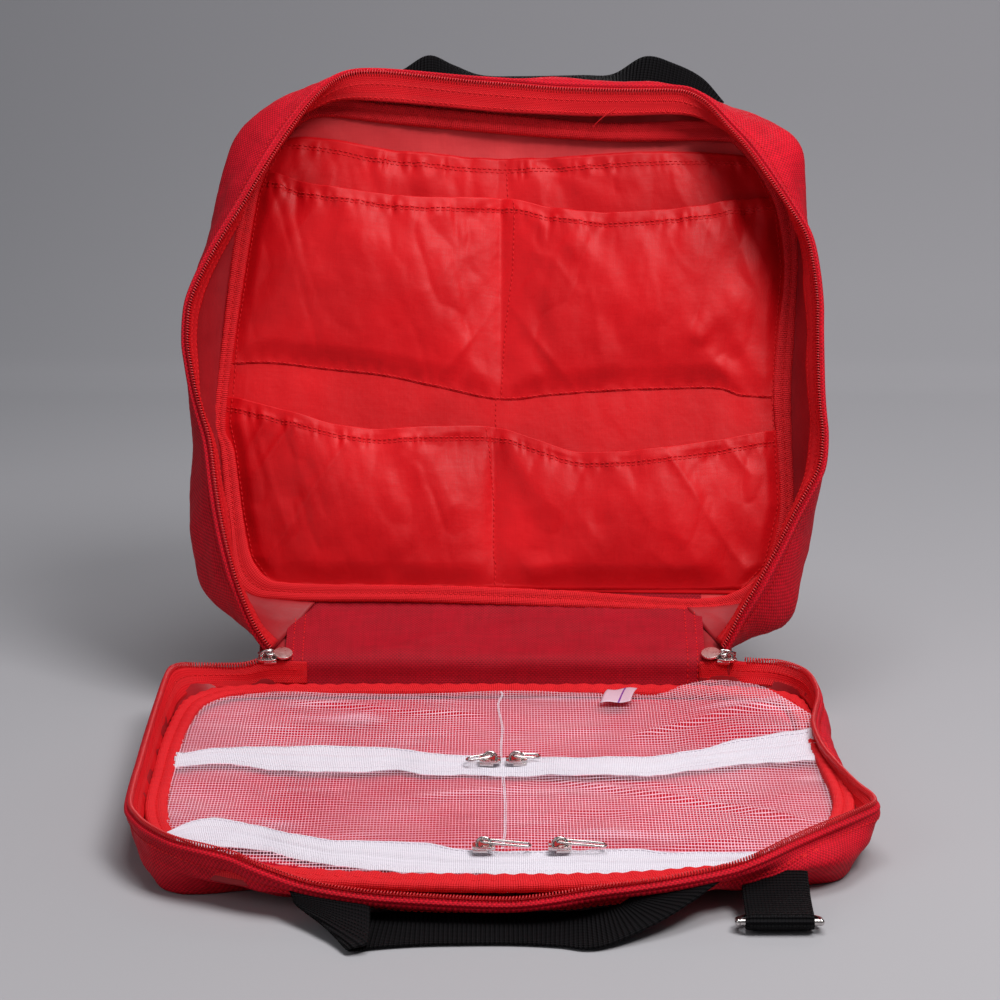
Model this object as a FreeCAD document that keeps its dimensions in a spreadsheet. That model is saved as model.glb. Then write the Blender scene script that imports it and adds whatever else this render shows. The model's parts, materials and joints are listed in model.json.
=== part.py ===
"""Clamshell trauma backpack: a padded front half and a padded back half with soft side walls, joined along
the bottom by a folding gusset and closed by a zipper round the other three sides. The bag is drawn open, the
front half lying on its outer face and the back half standing up behind it, leaning back.

Frame: +X to the right, +Y from the front edge towards the back half, +Z up, millimetres. The origin is the
centre of the front panel's outer face, which rests on the ground."""
import FreeCAD
import Part
import math
import os

from FreeCAD import Rotation, Vector

doc = FreeCAD.newDocument("trauma_backpack")

# ---------------------------------------------------------------- driving dimensions
sheet = doc.addObject("Spreadsheet::Sheet", "sizes")
SIZES = [
    ("bag_width", 330.0, "overall width across the side walls"),
    ("bag_height", 300.0, "overall height of each half"),
    ("corner_radius", 50.0, "outer corner radius of the side wall"),
    ("wall_thick", 2.0, "coated fabric side wall with its seam allowance"),
    ("front_depth", 32.0, "front half, ground to zipper line"),
    ("back_depth", 50.0, "back half, inner face to zipper line"),
    ("front_pad", 14.0, "front panel with its foam board"),
    ("back_pad", 6.0, "back panel with its foam sheet"),
    ("strip_angle", 18.0, "slope of the folding gusset in the open position"),
    ("panel_angle", 64.0, "slope of the back half in the open position"),
    ("strip_half", 110.0, "half width of the folding gusset"),
    ("zip_end", 126.5, "half distance between the ends of the main zipper"),
    ("tape_thick", 1.0, "zipper tape"),
    ("tape_show", 14.0, "zipper tape inside the wall"),
    ("coil_width", 2.6, "zipper coil across"),
    ("coil_height", 1.5, "zipper coil along the wall"),
    ("bind_width", 10.0, "seam binding across"),
    ("mesh_level", 18.0, "underside of the mesh"),
    ("mesh_thick", 1.0, "mesh and pocket zipper tape"),
    ("upper_zip_line", 12.0, "rear pocket zipper, distance behind the origin"),
    ("lower_zip_line", -116.0, "front pocket zipper, distance behind the origin"),
    ("pocket_tape", 30.0, "pocket zipper tape, both sides together"),
    ("web_width", 38.0, "handle webbing width"),
    ("web_thick", 3.0, "handle webbing thickness"),
    ("handle_reach", 58.0, "handle loop, wall to outer edge"),
    ("handle_half", 95.0, "handle loop half length"),
    ("fabric_gap", 0.3, "clearance between sewn layers"),
    ("pocket_thick", 1.2, "pocket fabric with hem"),
    ("slack_rear", 7.0, "rear pocket, fullness at its mouth"),
    ("slack_upper", 8.5, "upper pocket, fullness at its mouth"),
    ("slack_lower", 9.0, "lower pocket, fullness at its mouth"),
    ("ring_wire", 3.0, "D-ring wire diameter"),
    ("ring_half", 18.5, "D-ring half width, bar to bar"),
    ("strap_width", 55.0, "padded shoulder strap width"),
    ("strap_thick", 6.0, "padded shoulder strap thickness"),
    ("strap_web", 25.0, "lower shoulder webbing width"),
]
for row, (alias, value, note) in enumerate(SIZES, start=1):
    sheet.set(f"A{row}", alias.replace("_", " "))
    sheet.set(f"B{row}", repr(value))
    sheet.setAlias(f"B{row}", alias)
    sheet.set(f"C{row}", note)
doc.recompute()


def v(alias):
    """A driving dimension's value from the sheet."""
    return float(sheet.get(alias))


class Size:
    """A length that knows both its number and the sheet expression it comes from."""

    def __init__(self, value, text):
        self.value, self.text = float(value), text

    @staticmethod
    def of(x):
        return x if isinstance(x, Size) else Size(x, repr(float(x)))

    def _join(self, other, sign, value):
        return Size(value, f"({self.text} {sign} {other.text})")

    def __add__(self, other):
        other = Size.of(other)
        return self._join(other, "+", self.value + other.value)

    def __sub__(self, other):
        other = Size.of(other)
        return self._join(other, "-", self.value - other.value)

    def __mul__(self, other):
        other = Size.of(other)
        return self._join(other, "*", self.value * other.value)

    def __truediv__(self, other):
        other = Size.of(other)
        return self._join(other, "/", self.value / other.value)

    def __radd__(self, other):
        return Size.of(other) + self

    def __rsub__(self, other):
        return Size.of(other) - self

    def __rmul__(self, other):
        return Size.of(other) * self

    def __neg__(self):
        return Size(-self.value, f"(-1 * {self.text})")


def c(alias):
    """A cell of the sheet, as a Size."""
    return Size(v(alias), "sizes." + alias)


def bind(obj, prop, size):
    """Sets a property from a Size and ties it to the sheet."""
    obj.setExpression(prop, Size.of(size).text)


SUBPARTS = []

# ---------------------------------------------------------------- where each half lies in the open position
FOLD1 = Vector(0, v("bag_height") / 2, v("front_depth"))
strip_dir = Vector(0, math.cos(math.radians(v("strip_angle"))), math.sin(math.radians(v("strip_angle"))))
FOLD2 = FOLD1 + strip_dir * v("back_depth")
P_FRONT = FreeCAD.Placement()
P_STRIP = FreeCAD.Placement(FOLD1, Rotation(Vector(1, 0, 0), v("strip_angle")))
P_BACK = FreeCAD.Placement(FOLD2, Rotation(Vector(1, 0, 0), v("panel_angle")))


# ---------------------------------------------------------------- helpers
import Sketcher


def new_body(label, placement):
    body = doc.addObject("PartDesign::Body", label)
    body.Label = label
    if hasattr(body, "AllowCompound"):
        body.AllowCompound = True
    body.Placement = placement
    SUBPARTS.append(body)
    return body


def plane(body, role):
    return next(f for f in body.Origin.OriginFeatures if f.Role == role)


def sketch_on(body, name, level=0.0, role="XY_Plane"):
    sk = body.newObject("Sketcher::SketchObject", name)
    sk.AttachmentSupport = [(plane(body, role), "")]
    sk.MapMode = "FlatFace"
    level = Size.of(level)
    sk.AttachmentOffset = FreeCAD.Placement(Vector(0, 0, level.value), Rotation())
    sk.setExpression("AttachmentOffset.Base.z", level.text)
    return sk


def rounded_loop(sk, tag, width, height, radius, cy=0.0):
    """A rounded rectangle, its centre raised by cy, whose width, height and radius are Sizes."""
    width, height, radius, cy = (Size.of(x) for x in (width, height, radius, cy))
    w, h, r, y0 = width.value / 2, height.value / 2, radius.value, cy.value
    lines = [((-w + r, -h), (w - r, -h)), ((w, -h + r), (w, h - r)), ((w - r, h), (-w + r, h)), ((-w, h - r), (-w, -h + r))]
    first = sk.GeometryCount
    for a, b in lines:
        sk.addGeometry(Part.LineSegment(Vector(a[0], a[1] + y0, 0), Vector(b[0], b[1] + y0, 0)), False)
    corners = [((w - r, -h + r), -90, 0), ((w - r, h - r), 0, 90), ((-w + r, h - r), 90, 180), ((-w + r, -h + r), 180, 270)]
    for (px, py), a0, a1 in corners:
        circle = Part.Circle(Vector(px, py + y0, 0), Vector(0, 0, 1), r)
        sk.addGeometry(Part.ArcOfCircle(circle, math.radians(a0), math.radians(a1)), False)
    side, arc = [first + k for k in range(4)], [first + 4 + k for k in range(4)]
    con = []
    for k in range(4):
        con.append(Sketcher.Constraint("Tangent", side[k], 2, arc[k], 1))
        con.append(Sketcher.Constraint("Tangent", arc[k], 2, side[(k + 1) % 4], 1))
    con += [Sketcher.Constraint("Horizontal", side[0]), Sketcher.Constraint("Vertical", side[1])]
    con += [Sketcher.Constraint("Equal", arc[0], arc[k]) for k in (1, 2, 3)]
    sk.addConstraint(con)
    for what, constraint, size in (
        ("radius", Sketcher.Constraint("Radius", arc[0], r), radius),
        ("width", Sketcher.Constraint("DistanceX", side[3], 1, side[1], 1, 2 * w), width),
        ("height", Sketcher.Constraint("DistanceY", side[0], 1, side[2], 1, 2 * h), height),
        ("cx", Sketcher.Constraint("DistanceX", -1, 1, arc[1], 3, w - r), width / 2 - radius),
        ("cy", Sketcher.Constraint("DistanceY", -1, 1, arc[1], 3, h - r + y0), height / 2 - radius + cy),
    ):
        n = sk.addConstraint(constraint)
        sk.renameConstraint(n, f"{tag}_{what}")
        sk.setExpression(f"Constraints.{tag}_{what}", size.text)


def box_loop(sk, tag, x0, x1, y0, y1):
    """A rectangle whose four sides are Sizes measured from the sketch's origin."""
    x0, x1, y0, y1 = (Size.of(x) for x in (x0, x1, y0, y1))
    pts = [(x0.value, y0.value), (x1.value, y0.value), (x1.value, y1.value), (x0.value, y1.value)]
    first = sk.GeometryCount
    for k in range(4):
        p, q = pts[k], pts[(k + 1) % 4]
        sk.addGeometry(Part.LineSegment(Vector(*p, 0), Vector(*q, 0)), False)
    con = [Sketcher.Constraint("Coincident", first + k, 2, first + (k + 1) % 4, 1) for k in range(4)]
    con += [Sketcher.Constraint("Horizontal", first), Sketcher.Constraint("Horizontal", first + 2)]
    con += [Sketcher.Constraint("Vertical", first + 1), Sketcher.Constraint("Vertical", first + 3)]
    sk.addConstraint(con)
    for what, kind, geo, size in (
        ("x0", "DistanceX", first, x0),
        ("x1", "DistanceX", first + 2, x1),
        ("y0", "DistanceY", first, y0),
        ("y1", "DistanceY", first + 2, y1),
    ):
        n = sk.addConstraint(Sketcher.Constraint(kind, -1, 1, geo, 1, size.value))
        sk.renameConstraint(n, f"{tag}_{what}")
        sk.setExpression(f"Constraints.{tag}_{what}", size.text)


def pad(body, sk, name, length):
    p = body.newObject("PartDesign::Pad", name)
    p.Profile = sk
    p.Length = Size.of(length).value
    bind(p, "Length", length)
    return p


def cut(body, sk, name, length):
    """A pocket along the sketch's normal, checked to take material away."""
    doc.recompute()
    before = body.Shape.Volume
    p = body.newObject("PartDesign::Pocket", name)
    p.Profile = sk
    p.Reversed = True
    p.Length = Size.of(length).value
    bind(p, "Length", length)
    doc.recompute()
    if body.Shape.Volume > before - 1:
        raise RuntimeError(f"{body.Label}: {name} removed nothing")
    return p


W, H, R = c("bag_width"), c("bag_height"), c("corner_radius")


def rounded_ring(label, placement, inset, thick, level, tall, cy=0.0, gap_half=None, gap_at=1):
    """A rounded-rectangle wall inset from the bag's outline. gap_half opens its far (gap_at 1) or near (-1) side."""
    body = new_body(label, placement)
    sk = sketch_on(body, label + "_outline", level)
    inset, thick, cy = Size.of(inset), Size.of(thick), Size.of(cy)
    rounded_loop(sk, "outer", W - 2 * inset, H - 2 * inset, R - inset, cy)
    rounded_loop(sk, "inner", W - 2 * inset - 2 * thick, H - 2 * inset - 2 * thick, R - inset - thick, cy)
    pad(body, sk, label + "_wall", tall)
    if gap_half is not None:
        gap(body, label + "_opening", gap_half, level, tall, cy, gap_at)
    return body


def gap(body, name, half, level, tall, cy, at):
    sk = sketch_on(body, name, level)
    if at > 0:
        box_loop(sk, "gap", -Size.of(half), half, cy + H / 2 - R + 1, cy + H / 2 + 5)
    else:
        box_loop(sk, "gap", -Size.of(half), half, cy - H / 2 - 5, cy - H / 2 + R - 1)
    cut(body, sk, name + "_cut", tall)


def rounded_plate(label, placement, inset, level, tall, cy=0.0):
    body = new_body(label, placement)
    sk = sketch_on(body, label + "_outline", level)
    rounded_loop(sk, "outer", W - 2 * inset, H - 2 * inset, R - inset, cy)
    pad(body, sk, label + "_pad", tall)
    return body


def plate(label, placement, areas, level, tall):
    """Flat sewn or moulded pieces, one rectangle each: areas holds (x0, x1, y0, y1)."""
    body = new_body(label, placement)
    sk = sketch_on(body, label + "_outline", level)
    for k, (x0, x1, y0, y1) in enumerate(areas):
        box_loop(sk, f"piece{k}", x0, x1, y0, y1)
    pad(body, sk, label + "_pad", tall)
    return body


def feature(label, shape, placement):
    f = doc.addObject("Part::Feature", label)
    f.Label = label
    own = shape.Placement
    f.Shape = shape
    f.Placement = placement.multiply(own)
    SUBPARTS.append(f)
    return f


# ---------------------------------------------------------------- front half
WALL, TAPE, BIND = c("wall_thick"), c("tape_thick"), c("bind_width")
FD, BD, BP = c("front_depth"), c("back_depth"), c("back_pad")
ML, MT = c("mesh_level"), c("mesh_thick")
STRIP, ZIP_END = c("strip_half"), c("zip_end")

rounded_plate("front_panel", P_FRONT, WALL + c("fabric_gap"), 0.0, c("front_pad"))
rounded_ring("front_gusset", P_FRONT, 0.0, WALL, 1.0, FD - 3, gap_half=STRIP + 1.5)
rounded_ring("front_zipper_tape", P_FRONT, WALL + 0.1, TAPE, FD - 2 - c("tape_show"), c("tape_show"), gap_half=STRIP + 1.5)
rounded_ring("front_zipper_coil", P_FRONT, 0.3, c("coil_width"), FD - 1.9, c("coil_height"), gap_half=STRIP + 1.5)
rounded_ring("front_seam_binding", P_FRONT, WALL + TAPE + 0.8, BIND, c("front_pad") + 0.1, 6.6)
# the lower part of the folding gusset, from the front panel's seam up to the first fold
plate("hinge_panel_lower", P_FRONT, [(-STRIP, STRIP, H / 2 - WALL, H / 2)], 1.0, FD - 1.8)

IN_X = W / 2 - WALL - TAPE - BIND - 1.0
IN_Y = H / 2 - WALL - TAPE - BIND - 1.0
IN_R = R - WALL - TAPE - BIND - 1.0
UP, LOW, HALF_TAPE = c("upper_zip_line"), c("lower_zip_line"), c("pocket_tape") / 2


def corner_plate(label, y0, y1, at, radius):
    """A mesh strip with its two outer corners rounded."""
    body = plate(label, P_FRONT, [(-IN_X, IN_X, y0, y1)], ML, MT)
    doc.recompute()
    base, picked = body.Tip, []
    for k, e in enumerate(body.Shape.Edges, start=1):
        a, b = e.Vertexes[0].Point, e.Vertexes[-1].Point
        if abs(a.x - b.x) < 1e-6 and abs(a.y - b.y) < 1e-6 and abs(a.y - at.value) < 1e-4:
            picked.append(f"Edge{k}")
    f = body.newObject("PartDesign::Fillet", label + "_corners")
    f.Base = (base, picked)
    f.Radius = radius.value
    bind(f, "Radius", radius)
    return body


# three mesh strips and two zippers cover the front half's zipped pockets
corner_plate("mesh_rear", UP + HALF_TAPE + 0.1, IN_Y, IN_Y, IN_R)
plate("mesh_middle", P_FRONT, [(-IN_X, IN_X, LOW + HALF_TAPE + 0.1, UP - HALF_TAPE - 0.1)], ML, MT)
mesh_front = rounded_plate("mesh_front", P_FRONT, WALL + TAPE + BIND + 1.0, ML, MT)
mesh_sketch = sketch_on(mesh_front, "mesh_front_edge", ML)
box_loop(mesh_sketch, "edge", -IN_X - 5, IN_X + 5, LOW - HALF_TAPE - 0.1, H / 2 + 5)
cut(mesh_front, mesh_sketch, "mesh_front_cut", MT)

for tag, line, trim in (("upper", UP, 0.0), ("lower", LOW, 20.0)):
    x = IN_X - trim
    plate(f"{tag}_pocket_zipper_tape", P_FRONT, [(-x, x, line + 0.2, line + HALF_TAPE), (-x, x, line - HALF_TAPE, line - 0.2)], ML, MT)
    plate(f"{tag}_pocket_zipper_coil", P_FRONT, [(6 - x, x - 6, line - 2.2, line + 2.2)], ML + MT + 0.05, 1.6)


def slider(label, placement, at, along=1.0):
    """A zipper slider straddling its coil: a waisted plate with a flange down each side and a bridge for the pull.
    It is drawn from the underside of the plate up, about its own centre."""
    plate_ = Part.makeBox(11, 8.8, 1.6, Vector(-5.5, -4.4, 0))
    for sy in (2.9, -4.6):
        plate_ = plate_.cut(Part.makeBox(5, 1.7, 1.6, Vector(1.5, sy, 0)))
    flanges = [Part.makeBox(7, 1.3, 1.3, Vector(-5.5, 3.1, -1.3)), Part.makeBox(7, 1.3, 1.3, Vector(-5.5, -4.4, -1.3))]
    bridge = Part.makeBox(7, 1.8, 3.4, Vector(-3.5, -0.9, 1.6)).cut(Part.makeCylinder(1.1, 4, Vector(0, -2, 3.2), Vector(0, 1, 0)))
    s = plate_.fuse(flanges + [bridge]).removeSplitter()
    if along < 0:
        s = s.mirror(Vector(0, 0, 0), Vector(1, 0, 0))
    s.translate(Vector(*at))
    return feature(label, s, placement)


def pull(label, placement, at, direction, length, width, tip, droop):
    """A zipper pull hung on the bridge: a cross pin, two arms past the bridge and a tapering tab, lying along the zipper."""
    pin = Part.makeCylinder(0.8, 3.6, Vector(0, -1.8, 0), Vector(0, 1, 0))
    arms = [Part.makeBox(7.4, 0.8, 1.2, Vector(-0.8, sy, -0.6)) for sy in (-2.2, 1.4)]
    neck = Part.makePolygon([Vector(6.0, -2.2, -0.6), Vector(length, -width / 2, -0.6), Vector(length, width / 2, -0.6), Vector(6.0, 2.2, -0.6), Vector(6.0, -2.2, -0.6)])
    tab = Part.Face(neck).extrude(Vector(0, 0, 1.2))
    end = Part.makeCylinder(tip, 1.2, Vector(length, 0, -0.6), Vector(0, 0, 1))
    s = pin.fuse(arms + [tab, end]).removeSplitter()
    if direction < 0:
        s = s.mirror(Vector(0, 0, 0), Vector(1, 0, 0))
    s.rotate(Vector(0, 0, 0), Vector(0, 1, 0), direction * droop)
    s.translate(Vector(*at))
    return feature(label, s, placement)


SLIDE_Z = v("mesh_level") + v("mesh_thick") + 0.05 + 1.6 + 0.3
MESH_SLIDERS = {
    "upper_slider_left": (-6.5, UP.value, -1),
    "upper_slider_right": (6.5, UP.value, 1),
    "lower_slider_left": (-9.0, LOW.value, -1),
    "lower_slider_right": (26.0, LOW.value, 1),
}
for name, (x, y, d) in MESH_SLIDERS.items():
    slider(name, P_FRONT, (x, y, SLIDE_Z), along=-d)
    # both of the front zipper's pulls lie to the right
    lie = 1 if name.startswith("lower") else d
    pull(name.replace("slider", "pull"), P_FRONT, (x, y, SLIDE_Z + 3.2), lie, 19.0, 3.6, 2.6, 7.0)

# carry handle of the front half, lying on the ground in front of it, and the stitched pads at its ends
HH, WW, WT = c("handle_half"), c("web_width"), c("web_thick")
REACH = c("handle_reach")


def handle(label, placement, level, root, sign):
    """A flat webbing loop: a grip with a leg at each end. root is where the legs start, sign the way they run."""
    body = new_body(label, placement)
    sk = sketch_on(body, label + "_outline", level)
    far = sign * (REACH + 2)
    lo, hi = (root, far + root) if sign > 0 else (root + far, root)
    box_loop(sk, "outer", -HH, HH, lo, hi)
    pad(body, sk, label + "_web", WT)
    sk = sketch_on(body, label + "_mouth", level)
    if sign > 0:
        box_loop(sk, "mouth", WW - HH, HH - WW, root - 5, hi - WW)
    else:
        box_loop(sk, "mouth", WW - HH, HH - WW, lo + WW, root + 5)
    cut(body, sk, label + "_cut", WT)
    return body


handle("front_handle", P_FRONT, 0.5, -H / 2 - 2.8, -1)


def stitched_ends(label, placement, y, z, tall):
    pads = []
    for k, x in enumerate((-HH, HH - WW)):
        b = doc.addObject("Part::Box", f"{label}_{k}")
        for prop, size in (("Length", WW), ("Width", Size.of(1.5)), ("Height", Size.of(tall))):
            setattr(b, prop, size.value)
            bind(b, prop, size)
        y, z = Size.of(y), Size.of(z)
        b.Placement = FreeCAD.Placement(Vector(x.value, y.value, z.value), Rotation())
        for axis, size in (("x", x), ("y", y), ("z", z)):
            bind(b, "Placement.Base." + axis, size)
        pads.append(b)
    group = doc.addObject("Part::Compound", label)
    group.Label = label
    group.Links = pads
    group.Placement = placement
    SUBPARTS.append(group)


stitched_ends("front_handle_ends", P_FRONT, -H / 2 - 1.6, 5.0, 22.0)

# webbing tab with a D-ring at the front half's right corner; the ring lies folded back under the tab
TX, BAR_Y, BAR_Z = 124.0, -172.0, 5.2
wire, half = v("ring_wire") / 2, v("ring_half")
tw = 2 * half - 5
t0 = BAR_Z + wire + 0.35
tab_top = Part.makeBox(tw, 30.0, 1.6, Vector(TX - tw / 2, BAR_Y, t0))
nose = Part.makeCylinder(wire + 1.95, tw, Vector(TX - tw / 2, BAR_Y, BAR_Z), Vector(1, 0, 0))
nose = nose.cut(Part.makeCylinder(wire + 0.35, 80, Vector(TX - 40, BAR_Y, BAR_Z), Vector(1, 0, 0)))
nose = nose.cut(Part.makeBox(80, 20, 20, Vector(TX - 40, BAR_Y, BAR_Z - 10)))
under = Part.makeBox(tw, 4.0, 1.6, Vector(TX - tw / 2, BAR_Y, BAR_Z - wire - 1.95))
corner_x, corner_y = W.value / 2 - R.value, -(H.value / 2 - R.value)
clear = Part.makeCylinder(R.value + 0.1, 60, Vector(corner_x, corner_y, -5), Vector(0, 0, 1))
clear = clear.fuse(Part.makeBox(400, 100, 60, Vector(corner_x - 400, -H.value / 2 - 0.1, -5)))
tab = tab_top.fuse([nose, under]).cut(clear).removeSplitter()
feature("d_ring_tab", tab, P_FRONT)

reach, turn = 18.0, 6.0
drop = (2.0 - BAR_Z) / reach
bar = Part.makeCylinder(wire, 2 * half, Vector(TX - half, BAR_Y, BAR_Z), Vector(1, 0, 0))
side0 = Vector(TX - half, BAR_Y + turn, BAR_Z + turn * drop)
side1 = Vector(TX + half, BAR_Y + turn, BAR_Z + turn * drop)
path = Part.Wire([
    Part.LineSegment(Vector(TX - half, BAR_Y, BAR_Z), side0).toShape(),
    Part.Arc(side0, Vector(TX, BAR_Y + reach, BAR_Z + reach * drop), side1).toShape(),
    Part.LineSegment(side1, Vector(TX + half, BAR_Y, BAR_Z)).toShape(),
])
profile = Part.Wire([Part.Circle(Vector(TX - half, BAR_Y, BAR_Z), Vector(0, turn, turn * drop), wire).toShape()])
bow = path.makePipeShell([profile], True, False, 2)
ends = [Part.makeSphere(wire * 1.1, Vector(TX + s * half, BAR_Y, BAR_Z)) for s in (-1, 1)]
feature("d_ring", bar.fuse([bow] + ends).removeSplitter(), P_FRONT)

# sewn-in size label on the rear binding of the front half
plate("label_tag", P_FRONT, [(54.0, 68.0, IN_Y - 9, IN_Y - 0.3)], ML + MT + 0.2, 0.6)

# ---------------------------------------------------------------- folding gusset between the halves
plate("hinge_panel", P_STRIP, [(-STRIP, STRIP, 0.5, BD - 0.5)], 0.0, WALL)
# the zipper tape carries on past the fold at each end, and the open sliders are parked on it
plate("main_zipper_ends", P_STRIP, [(STRIP + 0.1, ZIP_END - 0.5, 0.6, 11.0), (0.5 - ZIP_END, -STRIP - 0.1, 0.6, 11.0)], 0.3, TAPE)
for side, d in (("left", 1), ("right", -1)):
    at = (-d * (ZIP_END.value - 6.3), 5.2, 2.9)
    slider(f"main_slider_{side}", P_STRIP, at, along=-d)
    pull(f"main_pull_{side}", P_STRIP, (at[0], at[1], at[2] + 3.2), d, 21.0, 6.4, 4.4, 4.0)

# ---------------------------------------------------------------- back half, drawn flat: +Y up the panel, +Z towards the pockets
CY = H / 2
rounded_plate("back_panel", P_BACK, WALL + c("fabric_gap"), -BP, BP, cy=CY)
back_wall = rounded_ring("back_gusset", P_BACK, 0.0, WALL, 0.5 - BP, BD + BP - 2.5, cy=CY, gap_half=STRIP + 1.5, gap_at=-1)
gap(back_wall, "back_gusset_slider_notch", ZIP_END, BD - 16, 20.0, CY, -1)
rounded_ring("back_zipper_tape", P_BACK, WALL + 0.1, TAPE, BD - 2 - c("tape_show"), c("tape_show"), cy=CY, gap_half=ZIP_END, gap_at=-1)
rounded_ring("back_zipper_coil", P_BACK, 0.3, c("coil_width"), BD - 1.9, c("coil_height"), cy=CY, gap_half=ZIP_END, gap_at=-1)
rounded_ring("back_seam_binding", P_BACK, WALL + TAPE + 0.8, BIND, 0.1, 1.6, cy=CY)

# the pockets lie over each other, so each layer's fullness is added to the one under it
PT = v("pocket_thick")
LEVELS = {
    "rear": [(16.0, 0.0), (100.0, 0.45), (190.0, 0.85), (268.0, 1.0)],
    "upper": [(128.0, 0.0), (160.0, 0.5), (236.0, 1.0)],
    "lower": [(18.0, 0.0), (50.0, 0.6), (108.0, 1.0)],
}
SLACK = {k: v("slack_" + k) for k in LEVELS}


def fullness(which, s):
    """How far a pocket stands off at height s, at the middle of a bay."""
    pts = LEVELS[which]
    if s <= pts[0][0]:
        return 0.0
    for (a, fa), (b, fb) in zip(pts, pts[1:]):
        if s <= b:
            return SLACK[which] * (fa + (fb - fa) * (s - a) / (b - a))
    return SLACK[which]


def pocket_half(s):
    """Half width between the seam bindings at height s: it narrows round the panel's corners."""
    edge = v("wall_thick") + v("tape_thick") + v("bind_width") + 1.2
    radius, straight = v("corner_radius") - edge, v("bag_width") / 2 - v("corner_radius")
    past = max(0.0, v("corner_radius") - s, s - (v("bag_height") - v("corner_radius")))
    return straight + math.sqrt(max(0.0, radius ** 2 - past ** 2))


def pocket(label, which, under):
    """An open-topped pocket of two bays, sewn down at the sides, centre and bottom and standing off at the mouth."""
    lo, hi = LEVELS[which][0][0], LEVELS[which][-1][0]
    cuts = {s for k in [which] + under for s, _ in LEVELS[k] if lo <= s <= hi}
    if not under:
        cuts |= {20.0, 26.0, 36.0, 50.0, 252.0, 258.0, 264.0}
    n = 10
    wires = []
    for s in sorted(cuts):
        half_w = pocket_half(s if not under else 150.0)
        inner = []
        for k in range(-n, n + 1):
            x = half_w * k / n
            bay = math.sin(math.pi * abs(x) / half_w)
            g = 0.4 + sum(fullness(below, s) * bay + PT + 0.4 for below in under)
            inner.append(Vector(x, s, g + fullness(which, s) * bay))
        outer = [p + Vector(0, 0, PT) for p in inner]
        pts = inner + outer[::-1]
        wires.append(Part.makePolygon(pts + [pts[0]]))
    return feature(label, Part.makeLoft(wires, True, True), P_BACK)


pocket("rear_pocket", "rear", [])
pocket("upper_pocket", "upper", ["rear"])
pocket("lower_pocket", "lower", ["rear"])

# carry handle of the back half, lying back from the top wall
HANDLE_LEAN = Rotation(Vector(1, 0, 0), -62.0)
P_BHANDLE = P_BACK.multiply(FreeCAD.Placement(Vector(0, v("bag_height") + 4.0, 20.0), HANDLE_LEAN))
handle("back_handle", P_BHANDLE, -WT / 2, Size.of(-1.0), 1)
stitched_ends("back_handle_ends", P_BACK, H + 0.1, 9.0, 22.0)

# shoulder harness on the back panel's outer face
ST = v("strap_thick")
OUT = -v("back_pad") - 0.3
plate("harness_yoke", P_BACK, [(-74.0, 74.0, 262.5, 290.0)], -BP - 0.3 - c("strap_thick"), c("strap_thick"))
sw, ww = v("strap_width") / 2, v("strap_web") / 2
for side, d in (("left", -1), ("right", 1)):
    pts = [(44 - sw + 14, 262.2), (44 + sw - 1, 262.2), (52 + sw, 200), (60 + sw, 140), (89, 96), (61, 96), (64 - sw, 140), (54 - sw, 200)]
    poly = Part.makePolygon([Vector(d * x, y, OUT - ST) for x, y in pts + [pts[0]]])
    feature(f"shoulder_strap_{side}", Part.Face(poly).extrude(Vector(0, 0, ST)), P_BACK)
    wpts = [(75 - ww, 95.6), (75 + ww, 95.6), (116 + ww - 2, 26), (116 - ww - 2, 26)]
    poly = Part.makePolygon([Vector(d * x, y, OUT - 2.0) for x, y in wpts + [wpts[0]]])
    feature(f"lower_strap_{side}", Part.Face(poly).extrude(Vector(0, 0, 2.0)), P_BACK)
    lock = Part.makeBox(34, 26, 4.0, Vector(-17, -13, 0))
    for sy in (-7.0, 3.0):
        lock = lock.cut(Part.makeBox(26.5, 4.2, 8, Vector(-13.25, sy, -2)))
    lock.rotate(Vector(0, 0, 0), Vector(0, 0, 1), d * 30.0)
    lock.translate(Vector(d * 86.5, 76.0, OUT - 2.0 - 0.3 - 4.0))
    feature(f"ladder_lock_{side}", lock, P_BACK)
outline = [(94, 8), (132, 8), (126, 25.6), (100, 25.6), (94, 8)]
patch = Part.Face(Part.makePolygon([Vector(x, y, OUT - 4.3) for x, y in outline])).extrude(Vector(0, 0, 4.3))
feature("lower_strap_anchors", Part.makeCompound([patch, patch.mirror(Vector(0, 0, 0), Vector(1, 0, 0))]), P_BACK)

# ---------------------------------------------------------------- recompute, check and write
doc.recompute()
bad = [o.Name for o in doc.Objects if {"Invalid", "Error"} & set(o.State)]
if bad:
    raise RuntimeError(f"objects failed to compute: {bad}")
os.makedirs("parts", exist_ok=True)
for old in os.listdir("parts"):
    if old.endswith(".step"):
        os.remove(os.path.join("parts", old))
seen = set()
for o in SUBPARTS:
    s = o.Shape
    if s.isNull() or not s.isValid() or not s.Solids:
        raise RuntimeError(f"{o.Label}: no valid solid")
    if o.Label in seen:
        raise RuntimeError(f"{o.Label} is used twice")
    seen.add(o.Label)
for o in SUBPARTS:
    s = o.Shape
    s.exportStep(os.path.join("parts", o.Label + ".step"))
    b = s.BoundBox
    print(f"{o.Label:28s} {len(s.Solids)} {s.Volume/1000:9.2f} cm3  x {b.XMin:7.1f} {b.XMax:7.1f}  y {b.YMin:7.1f} {b.YMax:7.1f}  z {b.ZMin:7.1f} {b.ZMax:7.1f}")
print("nodes", len(seen), "fold1", tuple(round(x, 3) for x in FOLD1), "fold2", tuple(round(x, 3) for x in FOLD2))
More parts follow.
